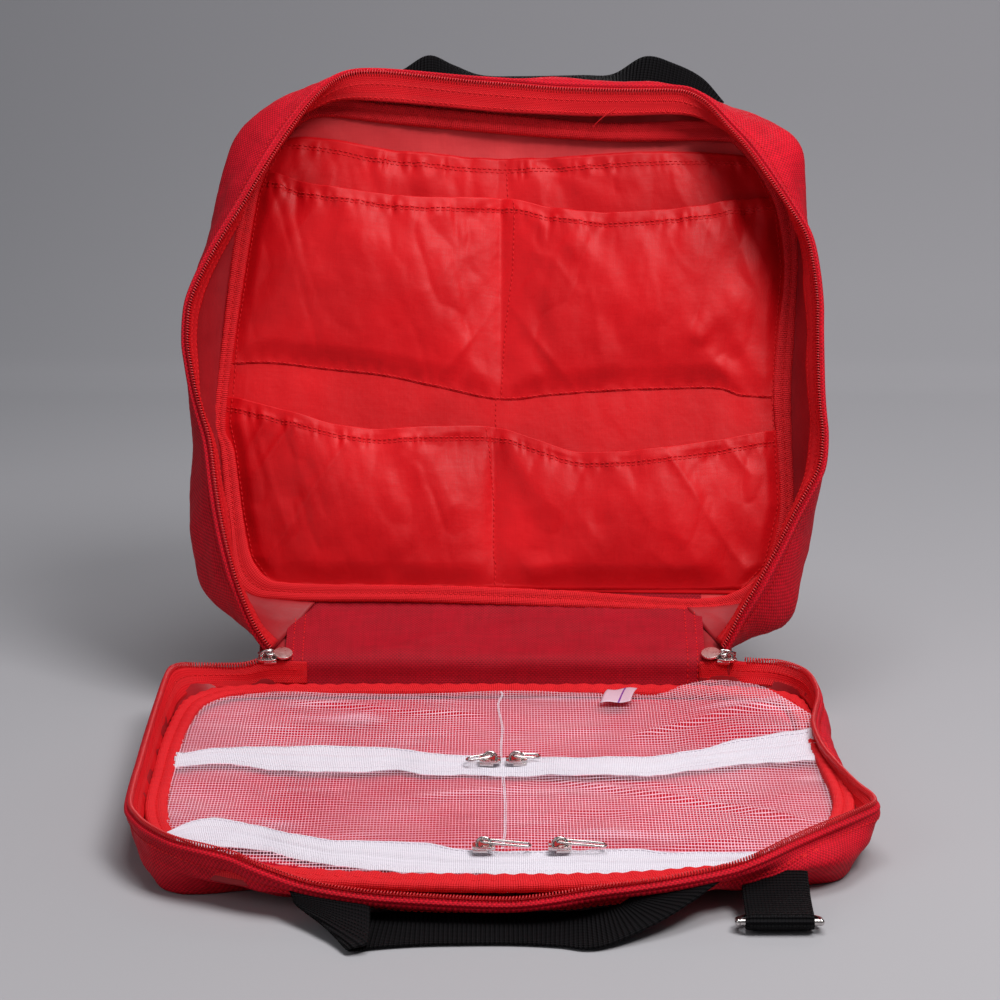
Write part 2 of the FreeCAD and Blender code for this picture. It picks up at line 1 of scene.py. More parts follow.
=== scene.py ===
import bpy
import json
import math
import numpy as np
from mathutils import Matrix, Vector

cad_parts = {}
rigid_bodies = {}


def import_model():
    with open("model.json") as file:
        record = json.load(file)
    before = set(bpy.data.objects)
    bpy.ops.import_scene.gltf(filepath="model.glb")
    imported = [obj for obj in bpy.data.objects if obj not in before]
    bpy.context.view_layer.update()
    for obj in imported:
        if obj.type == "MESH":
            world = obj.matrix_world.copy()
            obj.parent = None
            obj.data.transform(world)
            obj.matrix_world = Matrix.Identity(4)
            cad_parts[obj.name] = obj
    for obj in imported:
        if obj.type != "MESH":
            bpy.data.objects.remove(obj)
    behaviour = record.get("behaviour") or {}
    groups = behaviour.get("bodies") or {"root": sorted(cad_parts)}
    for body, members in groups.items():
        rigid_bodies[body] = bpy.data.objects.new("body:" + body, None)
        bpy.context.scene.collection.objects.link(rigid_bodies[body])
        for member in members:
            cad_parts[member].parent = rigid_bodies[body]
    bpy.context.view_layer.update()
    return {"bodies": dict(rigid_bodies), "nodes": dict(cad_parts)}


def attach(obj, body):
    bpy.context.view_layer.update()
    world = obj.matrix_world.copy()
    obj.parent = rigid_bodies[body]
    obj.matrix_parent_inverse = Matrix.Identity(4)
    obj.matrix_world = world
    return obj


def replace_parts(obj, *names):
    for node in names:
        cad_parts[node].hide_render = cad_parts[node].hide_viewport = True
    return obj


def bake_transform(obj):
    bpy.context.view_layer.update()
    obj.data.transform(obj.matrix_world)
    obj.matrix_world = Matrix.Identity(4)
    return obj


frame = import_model()
NODES = frame["nodes"]

# ------------------------------------------------------------------ frames, in millimetres
C18, S18 = math.cos(math.radians(18)), math.sin(math.radians(18))
C64, S64 = math.cos(math.radians(64)), math.sin(math.radians(64))
F1 = np.array([0.0, 150.0, 32.0])
F2 = np.array([0.0, 197.553, 47.451])


def back(p):
    """(x, s, g) of the standing half: s up the panel, g out of it towards the pockets."""
    p = np.asarray(p, float)
    x, s, g = p[..., 0], p[..., 1], p[..., 2]
    return np.stack([x, F2[1] + s * C64 - g * S64, F2[2] + s * S64 + g * C64], -1)


def strip(p):
    """(x, u, w) of the folding gusset."""
    p = np.asarray(p, float)
    x, u, w = p[..., 0], p[..., 1], p[..., 2]
    return np.stack([x, F1[1] + u * C18 - w * S18, F1[2] + u * S18 + w * C18], -1)


def flat(p):
    return np.asarray(p, float)


# ------------------------------------------------------------------ small tools
def smooth(t):
    t = np.clip(t, 0, 1)
    return t * t * (3 - 2 * t)


def noise(x, y, seed=1):
    """Value noise from -1 to 1."""
    x, y = np.broadcast_arrays(np.asarray(x, float), np.asarray(y, float))
    xi, yi = np.floor(x).astype(np.int64), np.floor(y).astype(np.int64)
    u, v = x - xi, y - yi
    u, v = u * u * u * (u * (u * 6 - 15) + 10), v * v * v * (v * (v * 6 - 15) + 10)

    def h(i, j):
        n = (i * 374761393 + j * 668265263 + seed * 974634777) & 0x7FFFFFFF
        n = ((n ^ (n >> 13)) * 1274126177) & 0x7FFFFFFF
        n = ((n ^ (n >> 15)) * 2246822519) & 0x7FFFFFFF
        return ((n >> 8) & 0xFFFF) / 32767.5 - 1

    a, b, c, d = h(xi, yi), h(xi + 1, yi), h(xi, yi + 1), h(xi + 1, yi + 1)
    return (a * (1 - u) + b * u) * (1 - v) + (c * (1 - u) + d * u) * v


def fbm(x, y, seed=1, octaves=3, gain=0.5):
    total, amp, norm = 0.0, 1.0, 0.0
    for k in range(octaves):
        total = total + amp * noise(x * 2**k + 17.3 * k, y * 2**k - 9.1 * k, seed + k)
        norm += amp
        amp *= gain
    return total / norm


def fold(x, y, seed=1, sharp=1.6):
    """Soft creases: ridged noise, 0 to 1 with rounded ridges."""
    return (1 - np.abs(fbm(x, y, seed, 2))) ** sharp


def dense(pts, closed=False, per=16):
    p = np.array(pts, float)
    if closed:
        e = np.vstack([p[-1], p, p[0], p[1]])
    else:
        e = np.vstack([2 * p[0] - p[1], p, 2 * p[-1] - p[-2]])
    t = np.linspace(0, 1, per, endpoint=False)[:, None]
    out = []
    for i in range(1, len(e) - 2):
        a, b, c, d = e[i - 1 : i + 3]
        out.append(0.5 * (2 * b + (c - a) * t + (2 * a - 5 * b + 4 * c - d) * t**2 + (3 * b - a - 3 * c + d) * t**3))
    out.append(e[-2][None, :])
    return np.vstack(out)


def length(p):
    return np.concatenate([[0], np.cumsum(np.linalg.norm(np.diff(p, axis=0), axis=1))])


def even(p, n=None, step=None):
    """p resampled at even spacing along itself."""
    d = length(p)
    if n is None:
        n = max(3, int(round(d[-1] / step)) + 1)
    q = np.linspace(0, d[-1], n)
    return np.stack([np.interp(q, d, p[:, k]) for k in range(p.shape[1])], 1)


def blur(p, times, closed=False):
    p = p.copy()
    for _ in range(times):
        if closed:
            p = 0.25 * np.roll(p, 1, 0) + 0.5 * p + 0.25 * np.roll(p, -1, 0)
        else:
            p[1:-1] = 0.25 * p[:-2] + 0.5 * p[1:-1] + 0.25 * p[2:]
    return p


class Around:
    """A curve round a centre, looked up by the angle of (x, y) about it: 0 at `top`, growing to +x."""

    def __init__(self, pts, centre, sign=1.0, closed=False):
        self.c, self.sign = centre, sign
        d = dense(pts, closed)
        a = np.degrees(np.arctan2(d[:, 0] - centre[0], sign * (d[:, 1] - centre[1])))
        a = np.degrees(np.unwrap(np.radians(a)))
        if a[-1] < a[0]:
            a, d = a[::-1], d[::-1]
        if closed:
            a = np.concatenate([a[:-1] - 360, a[:-1], a[:-1] + 360])
            d = np.vstack([d[:-1], d[:-1], d[:-1]])
            while a[len(a) // 3] > 180:
                a -= 360
            while a[len(a) // 3] < -180 - 1e-9:
                a += 360
        keep = np.maximum.accumulate(a) <= a
        self.a, self.d = a[keep], d[keep]

    def __call__(self, ang):
        return np.stack([np.interp(ang, self.a, self.d[:, k]) for k in range(self.d.shape[1])], 1)

    def angles(self, lo, hi, step):
        """Angles from lo to hi, even along the curve."""
        a = np.linspace(lo, hi, 4000)
        p = self(a)
        d = length(p)
        n = max(3, int(round(d[-1] / step)) + 1)
        return np.interp(np.linspace(0, d[-1], n), d, a)


# ------------------------------------------------------------------ meshes
def new_mesh(name, verts, faces, mat, uv=None, weld=False):
    """verts in mm, uv per vertex in metres."""
    me = bpy.data.meshes.new(name)
    verts = np.asarray(verts, float) * 0.001
    me.from_pydata(verts.tolist(), [], [tuple(int(i) for i in f) for f in faces])
    if uv is not None:
        layer = me.uv_layers.new(name="UVMap")
        idx = np.zeros(len(me.loops), np.int32)
        me.loops.foreach_get("vertex_index", idx)
        layer.data.foreach_set("uv", np.asarray(uv, np.float32)[idx].ravel())
    me.polygons.foreach_set("use_smooth", np.ones(len(me.polygons), bool))
    if weld:
        import bmesh

        bm = bmesh.new()
        bm.from_mesh(me)
        bmesh.ops.remove_doubles(bm, verts=bm.verts, dist=2e-6)
        bmesh.ops.dissolve_degenerate(bm, dist=1e-7, edges=bm.edges)
        bm.to_mesh(me)
        bm.free()
    me.materials.append(mat)
    me.validate()
    o = bpy.data.objects.new(name, me)
    bpy.context.scene.collection.objects.link(o)
    return o


def quads(n, m, wrap=False, base=0, flip=False):
    i, j = np.meshgrid(np.arange(n if wrap else n - 1), np.arange(m - 1), indexing="ij")
    i2 = (i + 1) % n
    f = np.stack([i * m + j, i2 * m + j, i2 * m + j + 1, i * m + j + 1], -1).reshape(-1, 4) + base
    return f[:, ::-1] if flip else f


def normals(g, closed=False):
    if closed:
        e = np.concatenate([g[-2:-1], g, g[1:2]], 0)
        du = (e[2:] - e[:-2])
    else:
        du = np.gradient(g, axis=0)
    dv = np.gradient(g, axis=1)
    n = np.cross(du, dv)
    return n / np.maximum(np.linalg.norm(n, axis=-1, keepdims=True), 1e-9)


def uv_of(g):
    a = np.linalg.norm(np.diff(g, axis=0), axis=-1).mean(1)
    b = np.linalg.norm(np.diff(g, axis=1), axis=-1).mean(0)
    u, v = np.concatenate([[0], np.cumsum(a)]), np.concatenate([[0], np.cumsum(b)])
    U, V = np.meshgrid(u, v, indexing="ij")
    return np.stack([U, V], -1) * 0.001


AREAS = {}


def crisp(o, n, m):
    """Marks the borders of a shell's two faces sharp, so its sides do not bend the shading."""
    me = o.data
    idx = np.arange(n * m).reshape(n, m)
    border = set(idx[0].tolist() + idx[-1].tolist() + idx[:, 0].tolist() + idx[:, -1].tolist())
    k = n * m
    att = me.attributes.get("sharp_edge") or me.attributes.new("sharp_edge", "BOOLEAN", "EDGE")
    flags = [(e.vertices[0] % k in border) and (e.vertices[1] % k in border) for e in me.edges]
    att.data.foreach_set("value", flags)


def shell(name, g, lo, hi, mat, closed=False, uv=None):
    """A cloth of real thickness on the grid g, from lo to hi along its normals. closed: its first and last rows meet."""
    n, m = g.shape[:2]
    nn = normals(g, closed)
    uv = uv_of(g) if uv is None else uv
    lo, hi = np.asarray(lo, float), np.asarray(hi, float)
    a = g + nn * (lo[..., None] if lo.ndim else lo)
    b = g + nn * (hi[..., None] if hi.ndim else hi)
    verts = np.vstack([a.reshape(-1, 3), b.reshape(-1, 3)])
    k = n * m
    faces = [quads(n, m, flip=True), quads(n, m, base=k)]
    idx = np.arange(k).reshape(n, m)
    edges = [(idx[:, 0], False), (idx[:, -1], True)]
    if not closed:
        edges += [(idx[0, :], True), (idx[-1, :], False)]
    for e, f in edges:
        q = np.stack([e[:-1], e[1:], e[1:] + k, e[:-1] + k], 1)
        faces.append(q[:, ::-1] if f else q)
    uvs = np.vstack([uv.reshape(-1, 2)] * 2)
    o = new_mesh(name, verts, np.vstack(faces), mat, uvs, weld=closed)
    w = np.linalg.norm(np.diff(g, axis=1), axis=-1).sum(1).mean()
    l = np.linalg.norm(np.diff(g, axis=0), axis=-1).sum(0).mean()
    AREAS[name] = (round(l, 1), round(w, 1))
    return o


def tangents(p, closed=False):
    if closed:
        t = np.roll(p, -1, 0) - np.roll(p, 1, 0)
    else:
        t = np.gradient(p, axis=0)
    return t / np.maximum(np.linalg.norm(t, axis=1, keepdims=True), 1e-9)


def tube_mesh(p, r, sides=8, up=None, closed=False, flatten=1.0):
    """Vertices and faces of a tube along p. r is a number or one per point."""
    t = tangents(p, closed)
    if up is None:
        ref = np.array([0.13, 0.27, 0.95])
        n = np.zeros_like(p)
        v = ref - t[0] * (ref @ t[0])
        n[0] = v / np.linalg.norm(v)
        for i in range(1, len(p)):
            v = n[i - 1] - t[i] * (n[i - 1] @ t[i])
            n[i] = v / max(np.linalg.norm(v), 1e-9)
    else:
        n = up - t * (up * t).sum(1, keepdims=True)
        n /= np.maximum(np.linalg.norm(n, axis=1, keepdims=True), 1e-9)
    b = np.cross(t, n)
    r = np.broadcast_to(np.asarray(r, float), (len(p),))[:, None, None]
    a = np.linspace(0, 2 * math.pi, sides, endpoint=False)
    ring = p[:, None, :] + r * (n[:, None, :] * np.cos(a)[None, :, None] * flatten + b[:, None, :] * np.sin(a)[None, :, None])
    k = len(p)
    i, j = np.meshgrid(np.arange(k if closed else k - 1), np.arange(sides), indexing="ij")
    i2, j2 = (i + 1) % k, (j + 1) % sides
    f = np.stack([i * sides + j, i2 * sides + j, i2 * sides + j2, i * sides + j2], -1).reshape(-1, 4)
    faces = [tuple(q) for q in f[:, ::-1]]
    if not closed:
        faces.append(tuple(range(sides)))
        faces.append(tuple((k - 1) * sides + q for q in range(sides))[::-1])
    return ring.reshape(-1, 3), faces


def merge(parts):
    verts, faces, base = [], [], 0
    for v, f in parts:
        verts.append(v)
        faces += [tuple(i + base for i in q) for q in f]
        base += len(v)
    return np.vstack(verts), faces


def tubes(name, runs, r, mat, sides=8):
    v, f = merge([tube_mesh(p, r, sides) for p in runs])
    return new_mesh(name, v, f, mat, uv=np.zeros((len(v), 2)))


def coil(name, path, up, mat, width=3.2, height=2.0, wire=0.4, pitch=1.49, sides=5, per=9):
    """A zipper's monofilament coil wound round the path, with `up` the tape's normal at each point."""
    d = length(path)
    turns = int(d[-1] / pitch)
    q = np.linspace(0, d[-1], turns * per + 1)
    p = np.stack([np.interp(q, d, path[:, k]) for k in range(3)], 1)
    n = np.stack([np.interp(q, d, up[:, k]) for k in range(3)], 1)
    t = tangents(p)
    n = n - t * (n * t).sum(1, keepdims=True)
    n /= np.linalg.norm(n, axis=1, keepdims=True)
    b = np.cross(t, n)
    ph = 2 * math.pi * q / pitch * (turns * pitch / d[-1])
    line = p + b * (np.cos(ph) * width / 2)[:, None] + n * (np.sin(ph) * height / 2)[:, None]
    v, f = tube_mesh(line, wire, sides, up=p - line + t * 0.01)
    return new_mesh(name, v, f, mat, uv=np.zeros((len(v), 2)))


def at(g, a, b):
    """Point of grid g at fractional row a and column b."""
    a, b = np.clip(a, 0, g.shape[0] - 1.0001), np.clip(b, 0, g.shape[1] - 1.0001)
    i, j = a.astype(int), b.astype(int)
    u, v = (a - i)[:, None], (b - j)[:, None]
    return (g[i, j] * (1 - u) + g[i + 1, j] * u) * (1 - v) + (g[i, j + 1] * (1 - u) + g[i + 1, j + 1] * u) * v


def stitches(name, rows, mat, pitch=3.0, size=2.1, wide=0.62, tall=0.42, lift=0.1):
    """Rows of lockstitch: rows holds (points, normals)."""
    ring, parts_v, parts_f, base = 6, [], [], 0
    tv = [(-0.5, 0, 0)]
    for l, r in ((-0.38, 0.8), (0.0, 1.0), (0.38, 0.8)):
        for k in range(ring):
            a = 2 * math.pi * k / ring
            tv.append((l, r * math.cos(a), r * math.sin(a)))
    tv.append((0.5, 0, 0))
    tv = np.array(tv)
    tf = [(0, 1 + (k + 1) % ring, 1 + k) for k in range(ring)]
    for q in range(2):
        for k in range(ring):
            a, b = 1 + q * ring + k, 1 + q * ring + (k + 1) % ring
            tf.append((a, b, b + ring, a + ring))
    last = len(tv) - 1
    tf += [(last, 1 + 2 * ring + k, 1 + 2 * ring + (k + 1) % ring) for k in range(ring)]
    for p, n in rows:
        d = length(p)
        k = max(1, int(d[-1] / pitch))
        q = (np.arange(k) + 0.5) * d[-1] / k
        c = np.stack([np.interp(q, d, p[:, i]) for i in range(3)], 1)
        m = np.stack([np.interp(q, d, n[:, i]) for i in range(3)], 1)
        e = np.stack([np.interp(q + 0.4, d, p[:, i]) - np.interp(q - 0.4, d, p[:, i]) for i in range(3)], 1)
        e /= np.maximum(np.linalg.norm(e, axis=1, keepdims=True), 1e-9)
        m = m - e * (m * e).sum(1, keepdims=True)
        m /= np.maximum(np.linalg.norm(m, axis=1, keepdims=True), 1e-9)
        w = np.cross(m, e)
        skew = 0.09 * np.where(np.arange(k) % 2, 1, -1)[:, None]
        e2 = e + w * skew
        v = (c + m * lift)[:, None, :] + e2[:, None, :] * (tv[:, 0] * size)[None, :, None] + w[:, None, :] * (tv[:, 1] * wide / 2)[None, :, None] + m[:, None, :] * (tv[:, 2] * tall / 2)[None, :, None]
        for i in range(k):
            parts_v.append(v[i])
            parts_f += [tuple(x + base for x in f) for f in tf]
            base += len(tv)
    v = np.vstack(parts_v)
    return new_mesh(name, v, parts_f, mat, uv=np.zeros((len(v), 2)))


def row_on(g, a, b, nn=None, side=1.0, lift=0.0):
    """A stitch row on grid g through rows a and columns b, with its normals."""
    nn = normals(g) if nn is None else nn
    a, b = np.broadcast_arrays(np.asarray(a, float), np.asarray(b, float))
    n = at(nn, a, b) * side
    return at(g, a, b) + n * lift, n


def ribbon(a, b, n, m=13, puff=0.0):
    """A grid between two edge curves given as matching control points."""
    pa, pb = dense(a), dense(b)
    d = length((pa + pb) / 2)
    q = np.linspace(0, d[-1], n)
    pa = np.stack([np.interp(q, d, pa[:, k]) for k in range(3)], 1)
    pb = np.stack([np.interp(q, d, pb[:, k]) for k in range(3)], 1)
    t = np.linspace(0, 1, m)[None, :, None]
    return pa[:, None, :] * (1 - t) + pb[:, None, :] * t


# ------------------------------------------------------------------ materials
def srgb(r, g, b):
    f = lambda c: c / 12.92 if c <= 0.04045 else ((c + 0.055) / 1.055) ** 2.4
    return (f(r / 255), f(g / 255), f(b / 255), 1.0)


class Mat:
    def __init__(self, name, rough=0.6, **const):
        self.m = bpy.data.materials.new(name)
        self.m.use_nodes = True
        self.t = self.m.node_tree
        self.b = next(n for n in self.t.nodes if n.type == "BSDF_PRINCIPLED")
        self.b.inputs["Roughness"].default_value = rough
        for k, v in const.items():
            self.b.inputs[k.replace("_", " ")].default_value = v

    def new(self, kind, **props):
        n = self.t.nodes.new(kind)
        for k, v in props.items():
            setattr(n, k, v)
        return n

    def link(self, a, b):
        self.t.links.new(a, b)

    def put(self, socket, v):
        if hasattr(v, "is_output"):
            self.link(v, socket)
        else:
            socket.default_value = v

    def math(self, op, a, b=0.0, c=0.0, clamp=False):
        n = self.new("ShaderNodeMath", operation=op, use_clamp=clamp)
        self.put(n.inputs[0], a)
        self.put(n.inputs[1], b)
        self.put(n.inputs[2], c)
        return n.outputs[0]

    def uv(self):
        n = self.new("ShaderNodeUVMap", uv_map="UVMap")
        s = self.new("ShaderNodeSeparateXYZ")
        self.link(n.outputs[0], s.inputs[0])
        return s.outputs[0], s.outputs[1], n.outputs[0]

    def place(self):
        return self.new("ShaderNodeTexCoord").outputs["Object"]

    def noise(self, vec, scale, detail=3.0, rough=0.5, distortion=0.0):
        n = self.new("ShaderNodeTexNoise")
        self.link(vec, n.inputs["Vector"])
        n.inputs["Scale"].default_value = scale
        n.inputs["Detail"].default_value = detail
        n.inputs["Roughness"].default_value = rough
        n.inputs["Distortion"].default_value = distortion
        return n.outputs["Fac"]

    def mix(self, fac, a, b):
        n = self.new("ShaderNodeMix", data_type="RGBA")
        self.put(n.inputs[0], fac)
        self.put(n.inputs[6], a)
        self.put(n.inputs[7], b)
        return n.outputs[2]

    def range(self, v, a, b, c, d):
        n = self.new("ShaderNodeMapRange")
        self.put(n.inputs[0], v)
        for k, x in enumerate((a, b, c, d)):
            n.inputs[k + 1].default_value = x
        return n.outputs[0]

    def bump(self, height, strength=0.5, dist=0.0004, under=None):
        n = self.new("ShaderNodeBump")
        n.inputs["Strength"].default_value = strength
        n.inputs["Distance"].default_value = dist
        self.put(n.inputs["Height"], height)
        if under is not None:
            self.link(under, n.inputs["Normal"])
        return n.outputs[0]

    def colour(self, v):
        self.put(self.b.inputs["Base Color"], v)

    def rough(self, v):
        self.put(self.b.inputs["Roughness"], v)

    def normal(self, v):
        self.link(v, self.b.inputs["Normal"])


def woven(name, dark, light, pitch, rough, bump=0.6, depth=0.00025, blotch=0.25, slub=0.15, sheen=0.0, rough_var=0.08, **const):
    """Plain weave: bumps in a checkerboard, with slubby threads and broad tone changes."""
    s = Mat(name, rough, **const)
    s.b.inputs["Sheen Weight"].default_value = sheen
    s.b.inputs["Sheen Roughness"].default_value = 0.45
    u, v, vec = s.uv()
    p = s.place()
    k = math.pi / pitch
    h = s.math("MULTIPLY", s.math("SINE", s.math("MULTIPLY", u, k)), s.math("SINE", s.math("MULTIPLY", v, k)))
    threads = s.new("ShaderNodeVectorMath", operation="MULTIPLY")
    s.link(vec, threads.inputs[0])
    threads.inputs[1].default_value = (0.12, 1.0, 1.0)
    along = s.noise(threads.outputs[0], 0.45 / pitch, 2.0)
    threads2 = s.new("ShaderNodeVectorMath", operation="MULTIPLY")
    s.link(vec, threads2.inputs[0])
    threads2.inputs[1].default_value = (1.0, 0.12, 1.0)
    across = s.noise(threads2.outputs[0], 0.45 / pitch, 2.0)
    slubs = s.math("ADD", along, across)
    broad = s.noise(p, 22.0, 4.0, 0.55)
    f = s.math("MULTIPLY_ADD", h, 0.42, 0.5)
    f = s.math("MULTIPLY_ADD", s.math("SUBTRACT", slubs, 1.0), slub * 3.0, f)
    f = s.math("MULTIPLY_ADD", s.math("SUBTRACT", broad, 0.5), blotch * 2.0, f, clamp=True)
    s.colour(s.mix(f, dark, light))
    s.rough(s.math("MULTIPLY_ADD", s.math("SUBTRACT", broad, 0.5), rough_var * 2, rough))
    hh = s.math("ADD", s.math("ABSOLUTE", h), s.math("MULTIPLY", slubs, 0.5))
    s.normal(s.bump(hh, bump, depth))
    return s.m


def ribbed(name, dark, light, pitch, rough, across=True, twill=0.0, bump=0.6, depth=0.0003, sheen=0.0, blotch=0.2, fine=None, **const):
    """Narrow tape or webbing: ribs across its length, or a herringbone when twill is not 0."""
    s = Mat(name, rough, **const)
    s.b.inputs["Sheen Weight"].default_value = sheen
    u, v, vec = s.uv()
    p = s.place()
    a, b = (u, v) if across else (v, u)
    k = 2 * math.pi / pitch
    phase = s.math("MULTIPLY", a, k)
    if twill:
        tri = s.math("PINGPONG", b, twill)
        phase = s.math("MULTIPLY_ADD", tri, k, phase)
    h = s.math("SINE", phase)
    cross = s.math("SINE", s.math("MULTIPLY", b, 2 * math.pi / (fine or pitch * 0.8)))
    h = s.math("MULTIPLY_ADD", cross, 0.35, h)
    broad = s.noise(p, 30.0, 4.0, 0.6)
    f = s.math("MULTIPLY_ADD", h, 0.22, 0.5)
    f = s.math("MULTIPLY_ADD", s.math("SUBTRACT", broad, 0.5), blotch * 2.0, f, clamp=True)
    s.colour(s.mix(f, dark, light))
    s.rough(s.math("MULTIPLY_ADD", s.math("SUBTRACT", broad, 0.5), 0.15, rough))
    s.normal(s.bump(h, bump, depth))
    return s.m


def satin(name, dark, light, rough, scale=16.0, grain=2600.0, bump=0.25, broad_bump=0.0, sheen=0.0, **const):
    """Thin shiny cloth or a coated lining: fine grain and broad uneven tone."""
    s = Mat(name, rough, **const)
    s.b.inputs["Sheen Weight"].default_value = sheen
    u, v, vec = s.uv()
    p = s.place()
    broad = s.noise(p, scale, 4.0, 0.5)
    streak = s.new("ShaderNodeVectorMath", operation="MULTIPLY")
    s.link(vec, streak.inputs[0])
    streak.inputs[1].default_value = (1.0, 0.04, 1.0)
    lines = s.noise(streak.outputs[0], 1500.0, 2.0)
    streak2 = s.new("ShaderNodeVectorMath", operation="MULTIPLY")
    s.link(vec, streak2.inputs[0])
    streak2.inputs[1].default_value = (0.04, 1.0, 1.0)
    lines2 = s.noise(streak2.outputs[0], 1500.0, 2.0)
    both = s.math("ADD", lines, lines2)
    f = s.math("MULTIPLY_ADD", s.math("SUBTRACT", broad, 0.5), 1.5, 0.5)
    f = s.math("MULTIPLY_ADD", s.math("SUBTRACT", both, 1.0), 0.22, f, clamp=True)
    s.colour(s.mix(f, dark, light))
    s.rough(s.math("MULTIPLY_ADD", s.math("SUBTRACT", both, 1.0), 0.2, rough))
    n = s.bump(both, bump, 0.00012)
    if broad_bump:
        n = s.bump(s.noise(p, 60.0, 3.0, 0.55), broad_bump, 0.002, under=n)
    s.normal(n)
    return s.m


M = {}
M["outer"] = woven("red_coated_weave", srgb(136, 0, 14), srgb(234, 12, 42), 0.0011, 0.7, bump=0.75, Specular_IOR_Level=0.2)
M["strip"] = woven("red_strip_weave", srgb(126, 0, 16), srgb(184, 2, 32), 0.0010, 0.68, bump=0.6, Specular_IOR_Level=0.2)
M["nylon"] = satin("red_pocket_nylon", srgb(178, 0, 10), srgb(226, 12, 24), 0.5, broad_bump=0.3, Specular_IOR_Level=0.22)
# The coated lining comes in two copies with painted light. This one is painted lighter to make up for the shade over
# the back panel's lining under the top. The next one is painted darker as shade on the side walls and the fold pieces.
M["lining"] = satin("red_coated_lining_painted_light", srgb(192, 34, 40), srgb(236, 64, 68), 0.5, scale=30.0, bump=0.2, broad_bump=0.25, Specular_IOR_Level=0.3)
M["lining_dark"] = satin("red_coated_lining_painted_shade", srgb(128, 14, 22), srgb(172, 30, 38), 0.5, scale=30.0, bump=0.2, broad_bump=0.25, Specular_IOR_Level=0.3)
M["tray"] = satin("red_tray_lining", srgb(180, 2, 30), srgb(222, 14, 50), 0.5, Specular_IOR_Level=0.25)
M["binding"] = ribbed("red_binding_tape", srgb(198, 8, 20), srgb(252, 44, 52), 0.0011, 0.66, bump=0.7, Specular_IOR_Level=0.2)
M["tape"] = ribbed("red_zipper_tape", srgb(186, 6, 18), srgb(246, 30, 40), 0.0011, 0.66, twill=0.0032, bump=0.7, Specular_IOR_Level=0.2)
M["thread"] = ribbed("red_thread", srgb(196, 6, 16), srgb(236, 26, 34), 0.0006, 0.6, bump=0.2, Specular_IOR_Level=0.25)
M["coil"] = ribbed("red_nylon_coil", srgb(168, 4, 14), srgb(226, 26, 36), 0.0006, 0.34, bump=0.05, Specular_IOR_Level=0.5)
M["white_tape"] = ribbed("white_zipper_tape", srgb(214, 204, 218), srgb(250, 244, 252), 0.0009, 0.65, twill=0.0, bump=0.6, Specular_IOR_Level=0.25)
M["white_thread"] = ribbed("white_thread", srgb(216, 206, 220), srgb(250, 244, 252), 0.0006, 0.6, bump=0.2, Specular_IOR_Level=0.25)
M["webbing"] = ribbed("black_webbing", srgb(1, 1, 2), srgb(22, 20, 23), 0.0021, 0.7, bump=1.0, depth=0.0007, fine=0.0016, Specular_IOR_Level=0.1)
M["padding"] = woven("black_padding", srgb(8, 8, 10), srgb(30, 29, 33), 0.0009, 0.75, bump=0.8, Specular_IOR_Level=0.22)


def net(name, pitch=0.00155, thread=0.155):
    s = Mat(name, 0.5, Specular_IOR_Level=0.4)
    u, v, vec = s.uv()
    p = s.place()
    wob = s.noise(p, 240.0, 2.0)

    def line(c, wide=1.0):
        a = s.math("FRACT", s.math("MULTIPLY_ADD", wob, 0.12, s.math("DIVIDE", c, pitch * wide)))
        return s.math("ABSOLUTE", s.math("SUBTRACT", a, 0.5))

    a, b = line(u), line(v, 2.1)
    near = s.math("MINIMUM", a, b)
    broad = s.noise(p, 14.0, 3.0)
    stretch = s.new("ShaderNodeVectorMath", operation="MULTIPLY")
    s.link(vec, stretch.inputs[0])
    stretch.inputs[1].default_value = (9.0, 34.0, 1.0)
    streak = s.range(s.noise(stretch.outputs[0], 1.0, 2.0, 0.45, 1.2), 0.56, 0.80, 0.0, 0.10)
    w = s.math("MULTIPLY_ADD", s.math("SUBTRACT", broad, 0.5), 0.10, thread / 2)
    w = s.math("ADD", w, streak)
    solid = s.math("LESS_THAN", near, w)
    s.colour(s.mix(broad, srgb(238, 178, 198), srgb(252, 212, 226)))
    s.put(s.b.inputs["Alpha"], solid)
    s.normal(s.bump(s.math("SUBTRACT", 0.5, near), 0.5, 0.0002))
    return s.m


M["net"] = net("white_mesh")


def metal(name, dark, light, rough, scale=500.0):
    s = Mat(name, rough, Metallic=1.0)
    p = s.place()
    n = s.noise(p, scale, 3.0, 0.6)
    s.colour(s.mix(n, dark, light))
    s.rough(s.math("MULTIPLY_ADD", s.math("SUBTRACT", n, 0.5), 0.22, rough))
    s.normal(s.bump(s.noise(p, scale * 3, 2.0), 0.08, 0.0001))
    return s.m


M["nickel"] = metal("nickel_hardware", srgb(176, 168, 166), srgb(226, 220, 218), 0.22)
M["pull"] = metal("nickel_pull", srgb(196, 178, 174), srgb(232, 216, 212), 0.3)


def plastic(name, dark, light, rough):
    s = Mat(name, rough, Specular_IOR_Level=0.5)
    p = s.place()
    n = s.noise(p, 800.0, 4.0, 0.6)
    s.colour(s.mix(n, dark, light))
    s.rough(s.math("MULTIPLY_ADD", s.math("SUBTRACT", n, 0.5), 0.2, rough))
    s.normal(s.bump(n, 0.15, 0.00008))
    return s.m


M["acetal"] = plastic("black_acetal", srgb(9, 9, 11), srgb(24, 24, 27), 0.38)


def label_mat():
    s = Mat("white_label", 0.4, Specular_IOR_Level=0.5)
    u, v, vec = s.uv()
    near = s.math("ABSOLUTE", s.math("SUBTRACT", u, 0.0095))
    on = s.math("LESS_THAN", near, 0.0005)
    weave = s.noise(vec, 1800.0, 2.0)
    base = s.mix(weave, srgb(196, 158, 176), srgb(226, 200, 214))
    s.colour(s.mix(on, base, srgb(120, 60, 150)))
    s.normal(s.bump(weave, 0.2, 0.0001))
    return s.m


M["label"] = label_mat()

# ================================================================== standing half: outlines as (x, s, g)


def lean(s):
    """How far s changes for each mm of g along the viewing line."""
    return 0.18 + 0.15 * np.clip(s, 0, 300) / 290.0


